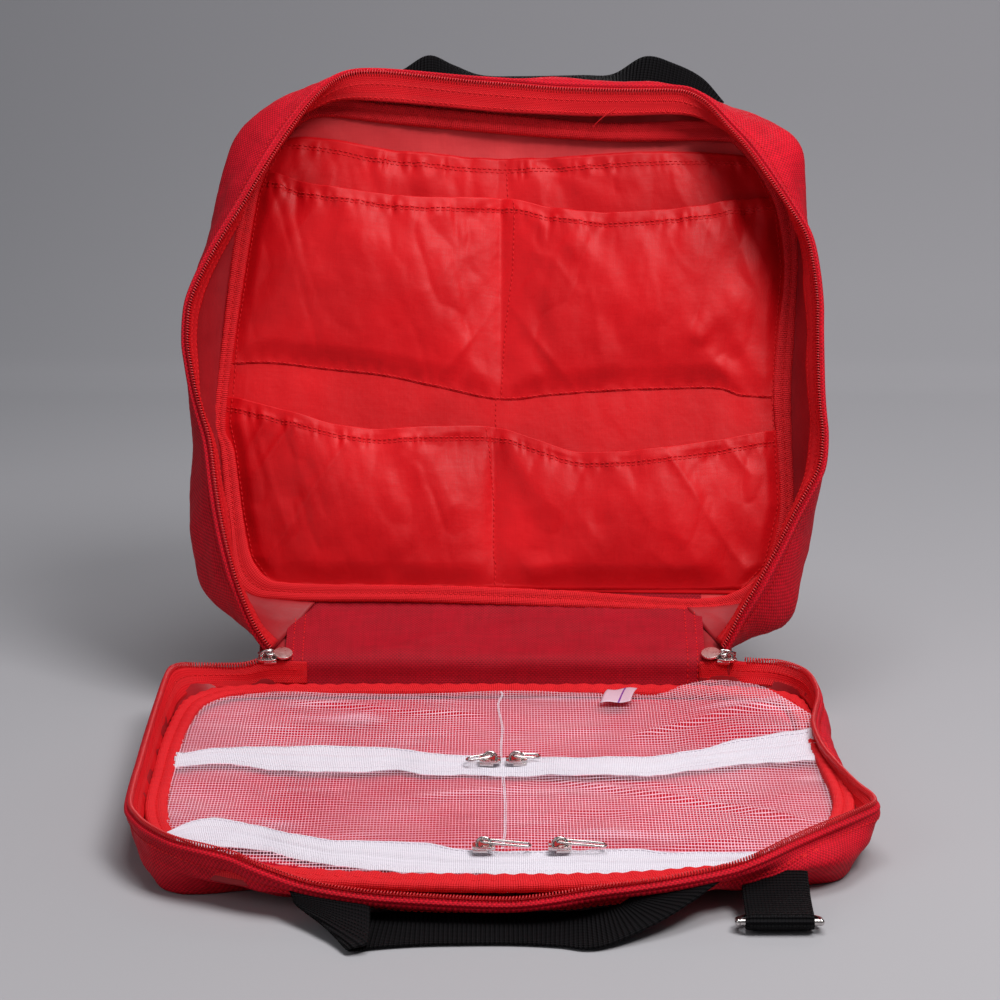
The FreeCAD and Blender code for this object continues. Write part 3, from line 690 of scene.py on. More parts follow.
def rim_left():
    flat_pts = [(3.8, 280.9, 19), (-21.9, 283.0, 19), (-52.6, 286.6, 19), (-69.2, 288.0, 20), (-81, 287.6, 22), (-89.3, 285.0, 25), (-96.3, 280.2, 29), (-104.4, 272.2, 34), (-114.9, 258, 39), (-124.2, 243.3, 43), (-133.3, 227.4, 46), (-141.3, 212.7, 47), (-151.5, 195.7, 48), (-158.6, 182.4, 48), (-165.3, 167.9, 48), (-169.0, 155.8, 48), (-169.8, 137.4, 48), (-168.3, 126.9, 48), (-165, 109.6, 48), (-161.2, 96.2, 48), (-156.8, 81.5, 48), (-153.4, 57.1, 48), (-149.5, 35.3, 47), (-144.5, 14.8, 46), (-139.5, -0.9, 43), (-133.4, -16.0, 39), (-127.5, -26.0, 35.5), (-123.0, -31.0, 33.6)]
    return [(x, s + lean(s) * (48 - g), g) for x, s, g in flat_pts]


def rim_right():
    flat_pts = [(30.5, 278.6, 19), (64.2, 277.6, 19), (96.7, 277.4, 21), (105.4, 274.8, 24), (112.8, 269.5, 28), (122.7, 257.8, 33), (133.7, 244.8, 38), (145.9, 226.7, 43), (158, 207.3, 46), (164.6, 194.5, 47), (168, 176.5, 48), (169.6, 157.3, 48), (169.3, 142.9, 48), (169.4, 111.2, 48), (170.2, 96, 48), (171, 86, 48), (169.2, 68.4, 48), (162.9, 55.9, 48), (155.3, 42.2, 47), (144, 19.8, 46), (134, 1.3, 43), (126.6, -11.1, 40), (121.0, -23.0, 36.5), (117.2, -30.0, 33.6)]
    return [(x, s + lean(s) * (48 - g), g) for x, s, g in flat_pts]


BC = (0.0, 150.0)
B_RIM = Around(rim_left()[::-1] + rim_right(), BC)
B_BELLY = Around(
    [(-112, -30, 16), (-134, -16, 15), (-143, -9.5, 15), (-152.5, -3, 15), (-162, 7, 15), (-165.5, 18, 15), (-168, 40, 15), (-168, 64, 15), (-167, 89, 15), (-167, 110, 15), (-167.5, 150, 15), (-167, 186, 15), (-162, 197, 15), (-157, 222, 15), (-152, 243, 15), (-145.5, 262, 15), (-140, 271, 15), (-122, 285, 14), (-98, 293, 12), (-80, 296, 10), (-40, 297, 9), (0, 297, 9), (50, 296, 9), (98, 292, 11), (121, 281, 14), (140, 274, 15), (158, 264, 15), (166, 252, 15), (166, 244, 15), (167.5, 222, 15), (168, 204, 15), (169, 150, 15), (171, 100, 15), (171, 69, 15), (167, 46, 15), (162.5, 24, 15), (159, 2, 15), (156, -7, 15), (150, -13.5, 15), (140, -17, 15), (126, -23, 15), (106, -30, 16)],
    BC,
)
B_BASE = Around(
    [(-100, -1, -4), (-120, 0, -4.5), (-140, 6, -5), (-152, 16, -5), (-160, 40, -5), (-163, 80, -5), (-163.5, 150, -5), (-161, 200, -5), (-155, 240, -5), (-147, 265, -5), (-132, 281, -5), (-110, 291, -5), (-60, 295.5, -5), (0, 296, -5), (60, 295.5, -5), (108, 290, -5), (134, 280, -5), (151, 264, -5), (160, 240, -5), (163, 200, -5), (164, 150, -5), (164, 80, -5), (160, 40, -5), (152, 16, -5), (140, 6, -5), (120, 0, -4.5), (100, -1, -4)],
    BC,
)
B_SEAM = Around(
    [(-100, 1, 2), (-120, 3, 2), (-137, 6, 2), (-146, 18, 2), (-151, 45, 2), (-155.5, 87, 2), (-157.5, 110, 2), (-155.5, 149, 2), (-152, 185, 2), (-148, 213, 2), (-142, 245, 2), (-129, 272, 2), (-108, 287, 2), (-60, 289, 2), (4, 288, 2), (60, 286.5, 2), (112, 284, 2), (136, 272, 2), (151, 255, 2), (160, 232, 2), (163, 198, 2), (160.5, 150, 2), (158.5, 116, 2), (158.5, 54, 2), (152, 22, 2), (140, 5, 2), (120, 0, 2), (100, -1, 2)],
    BC,
)
B_TAPE_EDGE = Around(
    [(-120, -22, 24), (-131, -10, 28), (-142, 14, 32), (-149, 57, 33.5), (-154, 82, 34), (-159, 96, 34), (-163, 112, 34), (-165, 137, 34), (-164, 156, 34), (-161, 170, 34), (-152, 190, 33), (-143, 210, 32), (-137, 232, 31), (-129, 250, 29), (-116, 266, 25), (-101, 278, 20), (-90, 282, 17.5), (-57, 280.3, 17), (-29, 277.6, 17), (-2, 275, 17), (25, 273.6, 17), (54, 272.6, 17), (98, 273, 18.5), (113, 268, 22), (128, 256, 27), (142, 240, 31), (153, 220, 33), (160, 200, 34), (163, 176, 34), (164, 150, 34), (164, 111, 34), (165, 88, 34), (162, 68, 34), (156, 52, 33), (146, 30, 32), (133, 6, 29), (122, -10, 26), (113, -22, 24)],
    BC,
)
LO, HI = -145.4, 146.5
ANG = B_RIM.angles(LO, HI, 2.6)
rim = blur(B_RIM(ANG), 2)
belly, base, seam, tape_edge = (blur(c(ANG), 3) for c in (B_BELLY, B_BASE, B_SEAM, B_TAPE_EDGE))
run = length(rim)
NR = len(ANG)


def unit(v):
    return v / np.maximum(np.linalg.norm(v, axis=-1, keepdims=True), 1e-9)


def across(rows, m):
    """A smooth section through the matching points of rows (each n by 3), at m even places."""
    n = len(rows[0])
    out = np.zeros((n, m, 3))
    for i in range(n):
        out[i] = even(dense([r[i] for r in rows], per=8), n=m)
    return out


# outside of the wall, from the coil round the belly to the back panel's seam
away = unit(belly - rim)
out0 = rim + np.stack([0 * run, 0 * run, 0 * run], 1)
radial = unit(np.stack([rim[:, 0], rim[:, 1] - 150, 0 * run], 1))
lip1 = rim + away * 3.0 + radial * 1.3
lip2 = rim + away * 6.0 + radial * 1.0
mid = rim * 0.52 + belly * 0.48 + radial * 2.0
outer = across([rim + radial * 0.4, lip1, lip2, mid, belly, base * 0.45 + belly * 0.55 + radial * 0.6, base, base - radial * 3], 30)
# the top collapses: the wall folds back over behind the rim
gw = np.linspace(0, 1, 30)[None, :] * np.ones((NR, 1))
rr = np.repeat(run[:, None], 30, 1)
env = smooth(gw / 0.3) * smooth((1 - gw) / 0.25)
wr = 2.2 * (fold(rr / 46.0, gw * 1.3 + rr / 160, 5) - 0.55) + 1.0 * fbm(rr / 15.0, gw * 3.0, 9)
# the wrinkles are pushed out along the wall's normals
outer_n = normals(outer)
outer = outer + outer_n * (wr * env)[..., None]
flatten = smooth((np.abs(ANG) - 118) / 14)[:, None]
BACK_OUT = back(outer)


# inside: the zipper tape and the lining
tape_in = across([rim - radial * 1.3, rim * 0.66 + tape_edge * 0.34 - radial * 0.4, rim * 0.3 + tape_edge * 0.7, tape_edge], 11)
tr = np.repeat(run[:, None], 11, 1)
tv = np.linspace(0, 1, 11)[None, :] * np.ones((NR, 1))
tape_in = tape_in + normals(tape_in) * (0.55 * fbm(tr / 13.0, tv, 31) * tv + 0.5 * np.sin(tr / 7.0) * tv**3)[..., None]
TAPE_IN = back(tape_in)
inner_pts = [rim - radial * 0.2 + away * 1.0, rim * 0.6 + belly * 0.4 - radial * 1.2, (belly * 0.6 + seam * 0.4) - radial * 1.6 + np.array([0, 0, 4.0]), seam + np.array([0, 0, 2.0]), seam - radial * 2]
lining = across(inner_pts, 20)
lv = np.linspace(0, 1, 20)[None, :] * np.ones((NR, 1))
lr = np.repeat(run[:, None], 20, 1)
lining = lining + normals(lining) * (1.5 * (fold(lr / 30.0, lv * 1.4, 51) - 0.55) * smooth(lv / 0.3) * smooth((1 - lv) / 0.3))[..., None]
BACK_LINING = back(lining)


def on_back(o, bend=False):
    if bend:
        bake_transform(o)
    else:
        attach(o, "back_half")
    return o


o = shell("back_wall_fabric", BACK_OUT, -0.35, 0.35, M["outer"])
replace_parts(on_back(o, True), "back_gusset")
back_wall_fabric = o
# the wall lining takes the copy with painted shade
o = shell("back_wall_lining", BACK_LINING, -0.2, 0.2, M["lining_dark"])
on_back(o, True)
back_wall_lining = o
o = shell("back_zipper_tape_cloth", TAPE_IN, -0.3, 0.3, M["tape"])
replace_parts(on_back(o, True), "back_zipper_tape")
back_tape = o
coil_path = back(rim + radial * -0.6)
coil_up = unit(back(rim + unit(np.cross(tangents(rim), tape_edge - rim))) - back(rim))
o = coil("back_zipper_coil_spiral", coil_path, coil_up, M["coil"])
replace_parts(on_back(o, True), "back_zipper_coil")
# piping-like folded edge of the outer cloth beside the coil
pipe = back(rim + radial * 1.9 + away * 1.6)
v, f = tube_mesh(pipe, 1.35, 8)
o = new_mesh("back_edge_fold", v, f, M["outer"], uv=np.stack([np.repeat(length(pipe), 8), np.tile(np.arange(8) * 1.0, len(pipe))], 1) * 0.001)
on_back(o, True)
nb_out = normals(BACK_OUT)
rows = [row_on(BACK_OUT, np.arange(2, NR - 2), 3.6, nb_out, 1.0, 0.45)]
nt = normals(TAPE_IN)
probe = (TAPE_IN[NR // 2, 5] - back(np.array([0, 150.0, 30.0])))
for col in (3.6, 8.6):
    for sgn in (1.0, -1.0):
        rows.append(row_on(TAPE_IN, np.arange(2, NR - 2), col, nt, sgn, 0.35))
o = stitches("back_wall_stitching", rows, M["thread"])
on_back(o, True)

# ------------------------------------------------------------------ seam bindings


def binding(name, outer_pts, inner_pts, centre, to_world, lift, seed, body, node, sign=1.0, tall=1.9, pucker=0.5):
    """A folded tape sewn over the panel's edge seam: a flat loop with rounded edges and a stitch line along its middle."""
    oc, ic = Around(outer_pts, centre, sign, closed=True), Around(inner_pts, centre, sign, closed=True)
    a = oc.angles(-180, 180, 2.4)
    po, pi = oc(a), ic(a)
    po[-1], pi[-1] = po[0], pi[0]
    d = length(po)
    L = d[-1]
    cols = np.array([-0.03, 0.0, 0.06, 0.2, 0.38, 0.47, 0.53, 0.62, 0.8, 0.94, 1.0, 1.03])
    high = np.array([-0.5, 0.5, 0.9, 1.0, 0.92, 0.66, 0.66, 0.92, 1.0, 0.9, 0.5, -0.5])
    g = po[:, None, :] * (1 - cols)[None, :, None] + pi[:, None, :] * cols[None, :, None]
    k = 2 * math.pi / L
    wave = 0.35 * np.sin(d * k * round(L / 9.0)) + 0.5 * np.interp(d, np.linspace(0, L, 90), np.append(noise(np.arange(89) * 1.37, 0.5, seed), noise(0.0, 0.5, seed)))
    up = np.zeros_like(g)
    up[..., 2] = high[None, :] * tall + lift + (wave * pucker)[:, None] * np.clip(high, 0, 1)[None, :]
    # the edges are scalloped by the stitching
    side = unit(po - pi)[:, None, :] * (np.where(cols < 0.5, 1, -1) * np.abs(cols - 0.5) * 2)[None, :, None]
    g = g + up + side * (0.35 * wave * pucker)[:, None, None]
    g[-1] = g[0]
    G = to_world(g)
    ob = shell(name, G, -0.25, 0.25, M["binding"], closed=True)
    nn = normals(G, True)
    s1 = at(G, np.arange(len(G)) * 1.0, np.full(len(G), 5.5))
    n1 = at(nn, np.arange(len(G)) * 1.0, np.full(len(G), 5.5))
    ref = to_world(np.array([0, 0, 1.0])) - to_world(np.array([0, 0, 0.0]))
    if (n1.mean(0) @ ref) < 0:
        n1 = -n1
    st = stitches(name + "_stitching", [(s1 + n1 * 0.35, n1)], M["thread"])
    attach(ob, body)
    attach(st, body)
    if node:
        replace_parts(ob, node)
    return ob, G


B_BIND_OUT = [(-100, 3.5, 1.5), (-120, 4, 1.5), (-136, 6, 1.5), (-146, 16, 1.5), (-150, 45, 1.5), (-154, 87, 1.5), (-158, 104, 1.5), (-154, 149, 1.5), (-150.5, 185, 1.5), (-147, 213, 1.5), (-141, 243, 1.5), (-127, 271, 3.0), (-101, 286, 6.0), (-60, 281.8, 8.0), (4, 275.6, 8.5), (59, 271.2, 8.0), (118, 273.4, 6.0), (138, 268, 3.0), (152, 250, 1.5), (160.5, 228, 1.5), (163, 198, 1.5), (160, 150, 1.5), (157.5, 116, 1.5), (158, 54, 1.5), (151, 20, 1.5), (138, 4, 1.5), (108, -2, 1.5), (55, -0.5, 1.5), (-24, 2.5, 1.5), (-60, 3.5, 1.5)]
B_BIND_IN = [(-100, 12.5, 1), (-118, 13.5, 1), (-128, 16, 1), (-137, 28, 1), (-142, 52, 1), (-147, 87, 1), (-152, 102, 1), (-147, 154, 1), (-141.5, 195, 1), (-136, 231, 1), (-131, 246, 1), (-122, 262, 2.0), (-104, 276.4, 4.0), (-60, 272.2, 5.4), (4, 266.2, 5.6), (60, 262.4, 5.4), (118, 263, 4.0), (130, 260, 2.0), (143, 243, 1), (152, 222, 1), (155.5, 189, 1), (151, 150, 1), (148.5, 117, 1), (151, 56, 1), (143, 24, 1), (131, 11, 1), (105, 4.5, 1), (43, 8.5, 1), (-25, 11.5, 1), (-60, 12, 1)]
bind_back, BIND_B = binding("back_binding_tape", B_BIND_OUT, B_BIND_IN, (0.0, 140.0), back, 0.5, 3, "back_half", "back_seam_binding", tall=1.6, pucker=0.8)

# ------------------------------------------------------------------ back panel: coated lining inside, padded cloth outside
PANEL = Around([(x * 0.985, s, -5) for x, s, g in [(-120, 2, 0), (-140, 7, 0), (-152, 18, 0), (-160, 42, 0), (-163, 80, 0), (-163.5, 150, 0), (-161, 200, 0), (-155, 240, 0), (-147, 264, 0), (-132, 280, 0), (-110, 290, 0), (-60, 294, 0), (0, 295, 0), (60, 294, 0), (108, 289, 0), (134, 279, 0), (151, 263, 0), (160, 240, 0), (163, 200, 0), (164, 150, 0), (164, 80, 0), (160, 40, 0), (152, 17, 0), (140, 7, 0), (120, 2, 0), (60, 1, 0), (0, 1, 0), (-60, 1, 0)]], BC, closed=True)
pa = PANEL.angles(-180, 180, 5.0)
pp = PANEL(pa)
pp[-1] = pp[0]
tt = np.concatenate([np.linspace(0, 0.9, 22), np.linspace(0.92, 1.0, 6)])


def disc(pts, centre, height):
    """Rings from the centre out to the outline, each lifted by height(x, y, t)."""
    c = np.array([centre[0], centre[1], 0.0])
    base_ = pts.copy()
    base_[:, 2] = 0
    g = c[None, None, :] * (1 - tt)[None, :, None] + base_[:, None, :] * tt[None, :, None]
    g[..., 2] = height(g[..., 0], g[..., 1], np.broadcast_to(tt[None, :], g.shape[:2]))
    return g


def plan_uv(g):
    return np.stack([g[..., 0], g[..., 1]], -1) * 0.001


inside = disc(pp, BC, lambda x, s, t: 0.2 + (0.7 * fbm(x / 30, s / 30, 61) + 1.2 * (1 - np.abs(noise(x / 34 + s / 80, s / 15, 63))) ** 4) * (1 - t**6) * (0.15 + 0.85 * smooth((s - 248) / 14)) + 3.4 * smooth((s - 255) / 22) * smooth((290 - s) / 12) * smooth((126 - np.abs(x)) / 20))
inside_w = back(inside)
# the panel's lining takes the copy painted lighter
o = shell("back_panel_lining", inside_w, -0.2, 0.2, M["lining"], closed=True, uv=plan_uv(inside))
on_back(o)
back_panel_lining = o


def pad_low(x, s, t):
    crown = -5.0 - 2.6 * np.clip(1 - t**4, 0, 1) ** 0.8
    # quilted: shallow grooves where the harness and the stiffener are stitched through
    quilt = 0.9 * np.exp(-((np.abs(x) - 118) / 2.2) ** 2) + 0.9 * np.exp(-((s - 238) / 2.2) ** 2) * (np.abs(x) < 118)
    return crown + quilt * (1 - t**8) + 0.35 * fbm(x / 26, s / 26, 71)


outside = disc(pp, BC, pad_low)
under = disc(pp, BC, lambda x, s, t: -0.4 + 0 * x)
n_, m_ = outside.shape[:2]
verts = np.vstack([back(outside).reshape(-1, 3), back(under).reshape(-1, 3)])
k_ = n_ * m_
fo = [quads(n_, m_, flip=False), quads(n_, m_, base=k_, flip=True)]
e_ = np.arange(k_).reshape(n_, m_)[:, -1]
fo.append(np.stack([e_[:-1], e_[1:], e_[1:] + k_, e_[:-1] + k_], 1))
o = new_mesh("back_panel_pad", verts, np.vstack(fo), M["outer"], np.vstack([plan_uv(outside).reshape(-1, 2)] * 2), weld=True)
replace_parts(on_back(o), "back_panel")

# ------------------------------------------------------------------ pockets
HALF = 150.5
XA = np.linspace(-1, 1, 261)


def line(pts, x, g_from, g_to):
    """Measured edge (x, s at depth g_from) looked up at x and carried to depth g_to."""
    d = dense(pts)
    s = np.interp(x, d[:, 0], d[:, 1])
    return s + lean(s) * (g_from - g_to)


REAR_TOP = [(-135, 262), (-114, 265), (-92, 263), (-69, 258), (-40, 255), (-7, 252), (31, 253), (64, 255), (100, 256), (136, 254), (150, 252)]
UP_TOP = [(-150, 247), (-128, 243), (-107, 236), (-82, 232), (-48, 228), (2, 227), (24.5, 222), (47, 219.5), (69, 219.5), (106.5, 222.5), (129, 226), (150, 228.5)]
UP_LOW = [(-150, 135), (-127, 135.5), (-97, 132), (-66, 128.5), (-35.5, 122), (-2, 115), (27, 117.5), (61, 120), (93, 121), (118, 121), (131, 117), (150, 116)]
LOW_TOP = [(-152, 116), (-130, 110), (-108, 104), (-89, 99), (-66, 97), (-41, 98), (-6, 98), (18, 91), (37, 85), (55, 84), (80, 85.5), (105, 89), (130, 93), (150, 96.5)]

lean_x = {"rear": 0.0, "upper": -1.0, "lower": -5.0}


IN_LEFT = np.array([(8, -122), (16, -128), (28, -137), (52, -142), (87, -147), (102, -150.5), (154, -147), (195, -141.5), (231, -136), (246, -131), (262, -122), (272, -112)], float)
IN_RIGHT = np.array([(5, 122), (11, 131), (24, 143), (56, 151), (117, 149), (150, 151), (189, 155), (222, 152), (243, 143), (260, 131), (268, 118)], float)


def bay(x, c, left, right):
    """0 at the seams, 1 mid-bay, for x between left, the centre seam c and right."""
    w = np.where(x < c, (x - left) / (c - left), (right - x) / (right - c))
    return np.sin(math.pi * np.clip(w, 0, 1))


def pocket(tag, name, node, top, low, g_top, slack, seed, centre_x, side_l, side_r, base_g, creases, n=84, hem=True):
    """A gathered pocket of two bays. creases holds (x0, s0, x1, s1, width, depth) of its folds."""
    b = np.concatenate([np.linspace(0, 0.08, 8, endpoint=False), np.linspace(0.08, 0.93, n - 18), np.linspace(0.94, 1.0, 10)])
    f_ = np.broadcast_to(((XA + 1) / 2)[:, None], (len(XA), n))
    B = np.broadcast_to(b[None, :], f_.shape)
    x = side_l * (1 - f_) + side_r * f_
    for _ in range(4):
        s1, s0 = top(x[:, -1]), low(x[:, 0])
        s = s0[:, None] * (1 - B) + s1[:, None] * B
        left = np.interp(s, IN_LEFT[:, 0], IN_LEFT[:, 1]) - 3.0
        right = np.interp(s, IN_RIGHT[:, 0], IN_RIGHT[:, 1]) + 3.0
        x = left * (1 - f_) + right * f_
    mid_ = bay(x, centre_x, left, right)
    belly_ = np.sin(math.pi * np.clip(B, 0, 1) ** 0.75) * 0.6 + smooth(B) * 0.7
    fullness = slack * mid_**0.75 * belly_
    if tag == "rear":
        fullness = fullness * smooth((s - 205) / 40)
    g = base_g(x, s, B) + fullness
    # creases fan out from the seam ends and run down from the hem
    for x0, q0, x1, q1, w, depth in creases:
        dx, ds = x1 - x0, q1 - q0
        L2 = dx * dx + ds * ds
        t = np.clip(((x - x0) * dx + (s - q0) * ds) / L2, 0, 1)
        dist = np.hypot(x - x0 - t * dx, s - q0 - t * ds)
        dist = dist + 1.6 * noise(x / 17.0, s / 17.0, seed + 77)
        ww = w * (0.55 + 0.75 * t)
        g = g + depth * np.exp(-((dist / ww) ** 2)) * (1 - 0.75 * t) * np.clip(mid_ * 3, 0, 1)
    soft = 1.5 * fbm(x / 44.0, s / 60.0, seed) + 0.8 * fbm(x / 16.0, s / 40.0, seed + 3) + 0.9 * (fold(x / 30 + s / 90, s / 120, seed + 5) - 0.6)
    hem_0 = (1 - B) * (s1 - s0)[:, None]
    seam_0 = np.minimum(np.abs(x - centre_x), np.minimum(x - left, right - x))
    zone = 0.9 * np.exp(-((seam_0 / 42.0) ** 2)) + 0.55 * np.exp(-((hem_0 / 26.0) ** 2)) + 0.3
    side = np.where(x < centre_x, 1.0, -1.0)
    p1, q1 = 0.83 * x * side - 0.55 * s, 0.55 * x * side + 0.83 * s
    p2, q2 = 0.97 * x * side + 0.26 * s, -0.26 * x * side + 0.97 * s
    soft = soft + zone * (1.9 * (fold(p1 / 22.0, q1 / 64.0, seed + 21) - 0.5) - 1.2 * (fold(p2 / 14.0, q2 / 38.0, seed + 22) - 0.5))
    calm = 1.0
    if tag == "rear":
        calm = 0.35 + 0.65 * smooth((s - 205) / 40)
    g = g + soft * calm * np.clip(mid_ * 2.2, 0, 1) * (0.4 + 0.6 * smooth(B * 4)) * (1 - 0.5 * smooth((B - 0.93) / 0.04))
    # puckers at the hem's stitching and down the side seams
    hem_d = (1 - B) * (s1 - s0)[:, None]
    g = g + 0.85 * np.sin(x / 1.3 + 4 * noise(x / 7, 0.3, seed)) * np.exp(-(((hem_d - 7.0) / 3.6) ** 2)) * (0.55 + 0.6 * noise(x / 12, 2.2, seed + 8))
    seam_d = np.minimum(np.abs(x - centre_x), np.minimum(x - left, right - x))
    g = g + 0.3 * np.sin(s / 1.5 + 5 * noise(s / 9, 0.7, seed)) * np.exp(-((seam_d / 3.0) ** 2)) * np.clip(seam_d / 2.0, 0, 1) * (0.4 + 0.8 * noise(s / 14, 3.1, seed + 9))
    g = g - 0.9 * np.exp(-(((x - centre_x) / 5.0) ** 2)) * smooth(B * 6)
    if hem:
        g = g + 0.35 * smooth((7.0 - hem_d) / 0.8)
    # tucked under the binding at both sides, sewn down along the bottom
    side_d = np.minimum(x - left, right - x)
    edge_g = {"rear": 0.55, "upper": 0.95, "lower": 1.15}[tag]
    tuck = smooth(side_d / 11.0)
    g = edge_g * (1 - tuck) + g * tuck
    if tag == "upper":
        up_d = (B * (s1 - s0)[:, None])
        k_ = smooth(up_d / 14.0) ** 0.7
        g = np.minimum(1.85, np.maximum(g, 1.3)) * (1 - k_) + g * k_
        g = g + 0.35 * np.sin(x / 1.5 + 2 * noise(x / 9, 4.3, seed)) * np.exp(-((up_d / 5.0) ** 2)) * tuck * smooth(up_d / 1.5)
    if tag == "lower":
        up_d = (B * (s1 - s0)[:, None])
        k_ = smooth(up_d / 15.0) ** 0.7
        g = 0.9 * (1 - k_) + g * k_
    if tag == "rear":
        near = np.abs(s - line(UP_LOW, x, 6, 5))
        k_ = smooth(near / 9.0) * smooth((s - 14) / 12)
        g = np.where(s < 200, 1.5 * (1 - k_) + g * k_, g)
        g = np.where(side_d > 10, np.maximum(g, 1.6 + 0.2 * noise(x / 9, s / 30, seed)), g)
    G = np.stack([x, s, g], -1)
    W = back(G)
    o = shell(name, W, -0.16, 0.16, M["nylon"])
    if node:
        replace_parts(o, node)
    on_back(o)
    return o, G, W


def b_rear(x, s, B):
    return 1.4 + 0 * x


rear_creases = [(-60, 262, -40, 200, 8, -1.6), (-20, 256, -8, 190, 7, -1.2), (25, 256, 45, 200, 10, -1.4), (75, 258, 70, 200, 9, 1.2), (20, 250, 80, 228, 5, -1.2), (96, 252, 120, 226, 6, -1.0)]
pocket_rear, GR, WR = pocket("rear", "rear_pocket_cloth", "rear_pocket", lambda x: line(REAR_TOP, x, 8, 5 + 3 * bay(x, 0, -146, 147)), lambda x: 10 + 0 * x, 8, 5.0, 101, 0.0, -146.0, 147.0, b_rear, rear_creases)
up_creases = [(0, 228, -22, 214, 4.5, -1.6), (0, 225, -14, 190, 4, -1.0), (1, 226, 34, 205, 6, 2.2), (1, 222, 30, 184, 6, 1.6), (35, 218, 58, 176, 9, 2.0), (56, 219, 46, 168, 8, -1.8), (92, 221, 78, 150, 12, -1.6), (120, 226, 140, 170, 12, 2.2), (138, 215, 112, 150, 12, -2.2), (108, 150, 140, 190, 9, 1.6), (-120, 240, -96, 196, 9, -1.4), (-95, 236, -60, 178, 10, 1.4), (-60, 230, -74, 190, 6, -1.0), (-6, 122, -36, 160, 9, 1.6), (-8, 124, -16, 184, 7, -1.4), (6, 120, 40, 150, 9, 1.8), (60, 122, 90, 158, 12, -1.5), (-146, 140, -110, 168, 10, 1.2), (128, 122, 100, 150, 8, 1.5)]


def b_up(x, s, B):
    return 3.0 + 3.0 * bay(x, 0, -146, 147) * smooth((s - 110) / 120)


pocket_upper, GU, WU = pocket("upper", "upper_pocket_cloth", "upper_pocket", lambda x: line(UP_TOP, x, 14, 6 + 8 * bay(x, -1, -148, 149)), lambda x: line(UP_LOW, x, 6, 5), 14, 8.5, 202, -1.0, -148.5, 149.5, b_up, up_creases)
low_creases = [(-5, 98, -30, 70, 8, -1.8), (-6, 92, -14, 40, 5, 1.2), (-4, 96, 26, 62, 8, 2.0), (-3, 80, 20, 34, 7, -1.3), (40, 86, 62, 40, 14, -2.0), (80, 86, 100, 30, 14, 1.8), (120, 92, 104, 50, 10, -1.6), (-70, 98, -50, 50, 14, -1.6), (-110, 104, -84, 40, 14, 1.6), (-146, 20, -100, 60, 14, 1.4), (20, 18, 70, 36, 12, 1.6), (146, 22, 100, 50, 12, -1.6), (-60, 20, -30, 46, 10, -1.4)]


def b_low(x, s, B):
    return 3.0 + 2.4 * bay(x, 0, -146, 147) * smooth((s - 15) / 90)


pocket_lower, GL, WL = pocket("lower", "lower_pocket_cloth", "lower_pocket", lambda x: line(LOW_TOP, x, 14, 6 + 9 * bay(x, -5, -148, 149)), lambda x: 9 - x * 0.012, 14, 10.5, 303, -5.0, -148.5, 149.5, b_low, low_creases)


def pocket_rows(G, W, centre_x, bottom=False, lift=0.3):
    """Stitch rows of a pocket: under the hem, beside the centre seam, down the sides and along the bottom."""
    nn = normals(W)
    if (nn.mean((0, 1)) @ (back(np.array([0, 0, 1.0])) - back(np.zeros(3)))) < 0:
        nn = -nn
    n, m = W.shape[:2]
    rows_ = []
    d = np.linalg.norm(np.diff(W, axis=1), axis=-1)[:, ::-1]
    d = np.concatenate([np.zeros((n, 1)), np.cumsum(d, 1)], 1)
    col = np.array([np.interp(6.2, d[i], np.arange(m)) for i in range(n)])
    a = np.arange(1, n - 1) * 1.0
    rows_.append(row_on(W, a, (m - 1) - col[1:-1], nn, 1.0, lift))
    col2 = np.array([np.interp(8.0, d[i], np.arange(m)) for i in range(n)])
    rows_.append(row_on(W, a, (m - 1) - col2[1:-1], nn, 1.0, lift - 0.1))
    c = np.interp(centre_x, G[:, 0, 0], np.arange(n))
    b_ = np.arange(0, m - 1) * 1.0
    for dc in (0.0,):
        rows_.append(row_on(W, np.full(len(b_), c + dc), b_, nn, 1.0, lift))
    rows_.append(row_on(W, np.full(len(b_), 4.0), b_, nn, 1.0, lift))
    rows_.append(row_on(W, np.full(len(b_), n - 5.0), b_, nn, 1.0, lift))
    if bottom:
        rows_.append(row_on(W, a, np.full(len(a), 1.0), nn, 1.0, lift))
    return rows_


rows = pocket_rows(GR, WR, 0.0) + pocket_rows(GU, WU, -1.0, True) + pocket_rows(GL, WL, -5.0, False)
o = stitches("pocket_stitching", rows, M["thread"], pitch=2.9, size=2.1)
on_back(o)

# ================================================================== folding gusset
XS = np.linspace(-1, 1, 111)


def cloth_strip(pts_fn, n_v, seed, amp=1.0):
    V = np.linspace(0, 1, n_v)
    g = np.zeros((len(XS), n_v, 3))
    for j, t in enumerate(V):
        g[:, j] = pts_fn(XS, t)
    return g


def strip_line(t, x):
    """The strip's section: from the front half's binding up to the first fold, along it, to the back binding."""
    key = np.array([[0, 147.0, 13.0], [0, 149.2, 22.0], [0, 149.6, 30.0], [0, 153.5, 34.0], [0, 165.0, 37.2], [0, 180.0, 42.0], [0, 191.0, 46.0], [0, 197.2, 49.6], [0, 200.5, 54.5]])
    d = dense(key)
    L = length(d)
    q = t * L[-1]
    return np.array([np.interp(q, L, d[:, 1]), np.interp(q, L, d[:, 2])])


def hinge_pts(t0, t1):
    def fn(xs, t):
        y, z = strip_line(t0 + (t1 - t0) * t, xs)
        x = xs * 111.5 - 4.2
        tt_ = t0 + (t1 - t0) * t
        e = math.sin(math.pi * tt_) ** 0.7
        w = 1.7 * fbm(x / 48, tt_ * 2.2 + x / 200, 401) + 1.3 * (fold(x / 60, tt_ * 2.6 - x / 130, 407) - 0.6) + 0.35 * fbm(x / 10, tt_ * 6, 409)
        # the wrinkles fade out at both ends, where the cloth is sewn to the tape
        return np.stack([x, y - w * e * S18, z + w * e * C18], -1)

    return fn


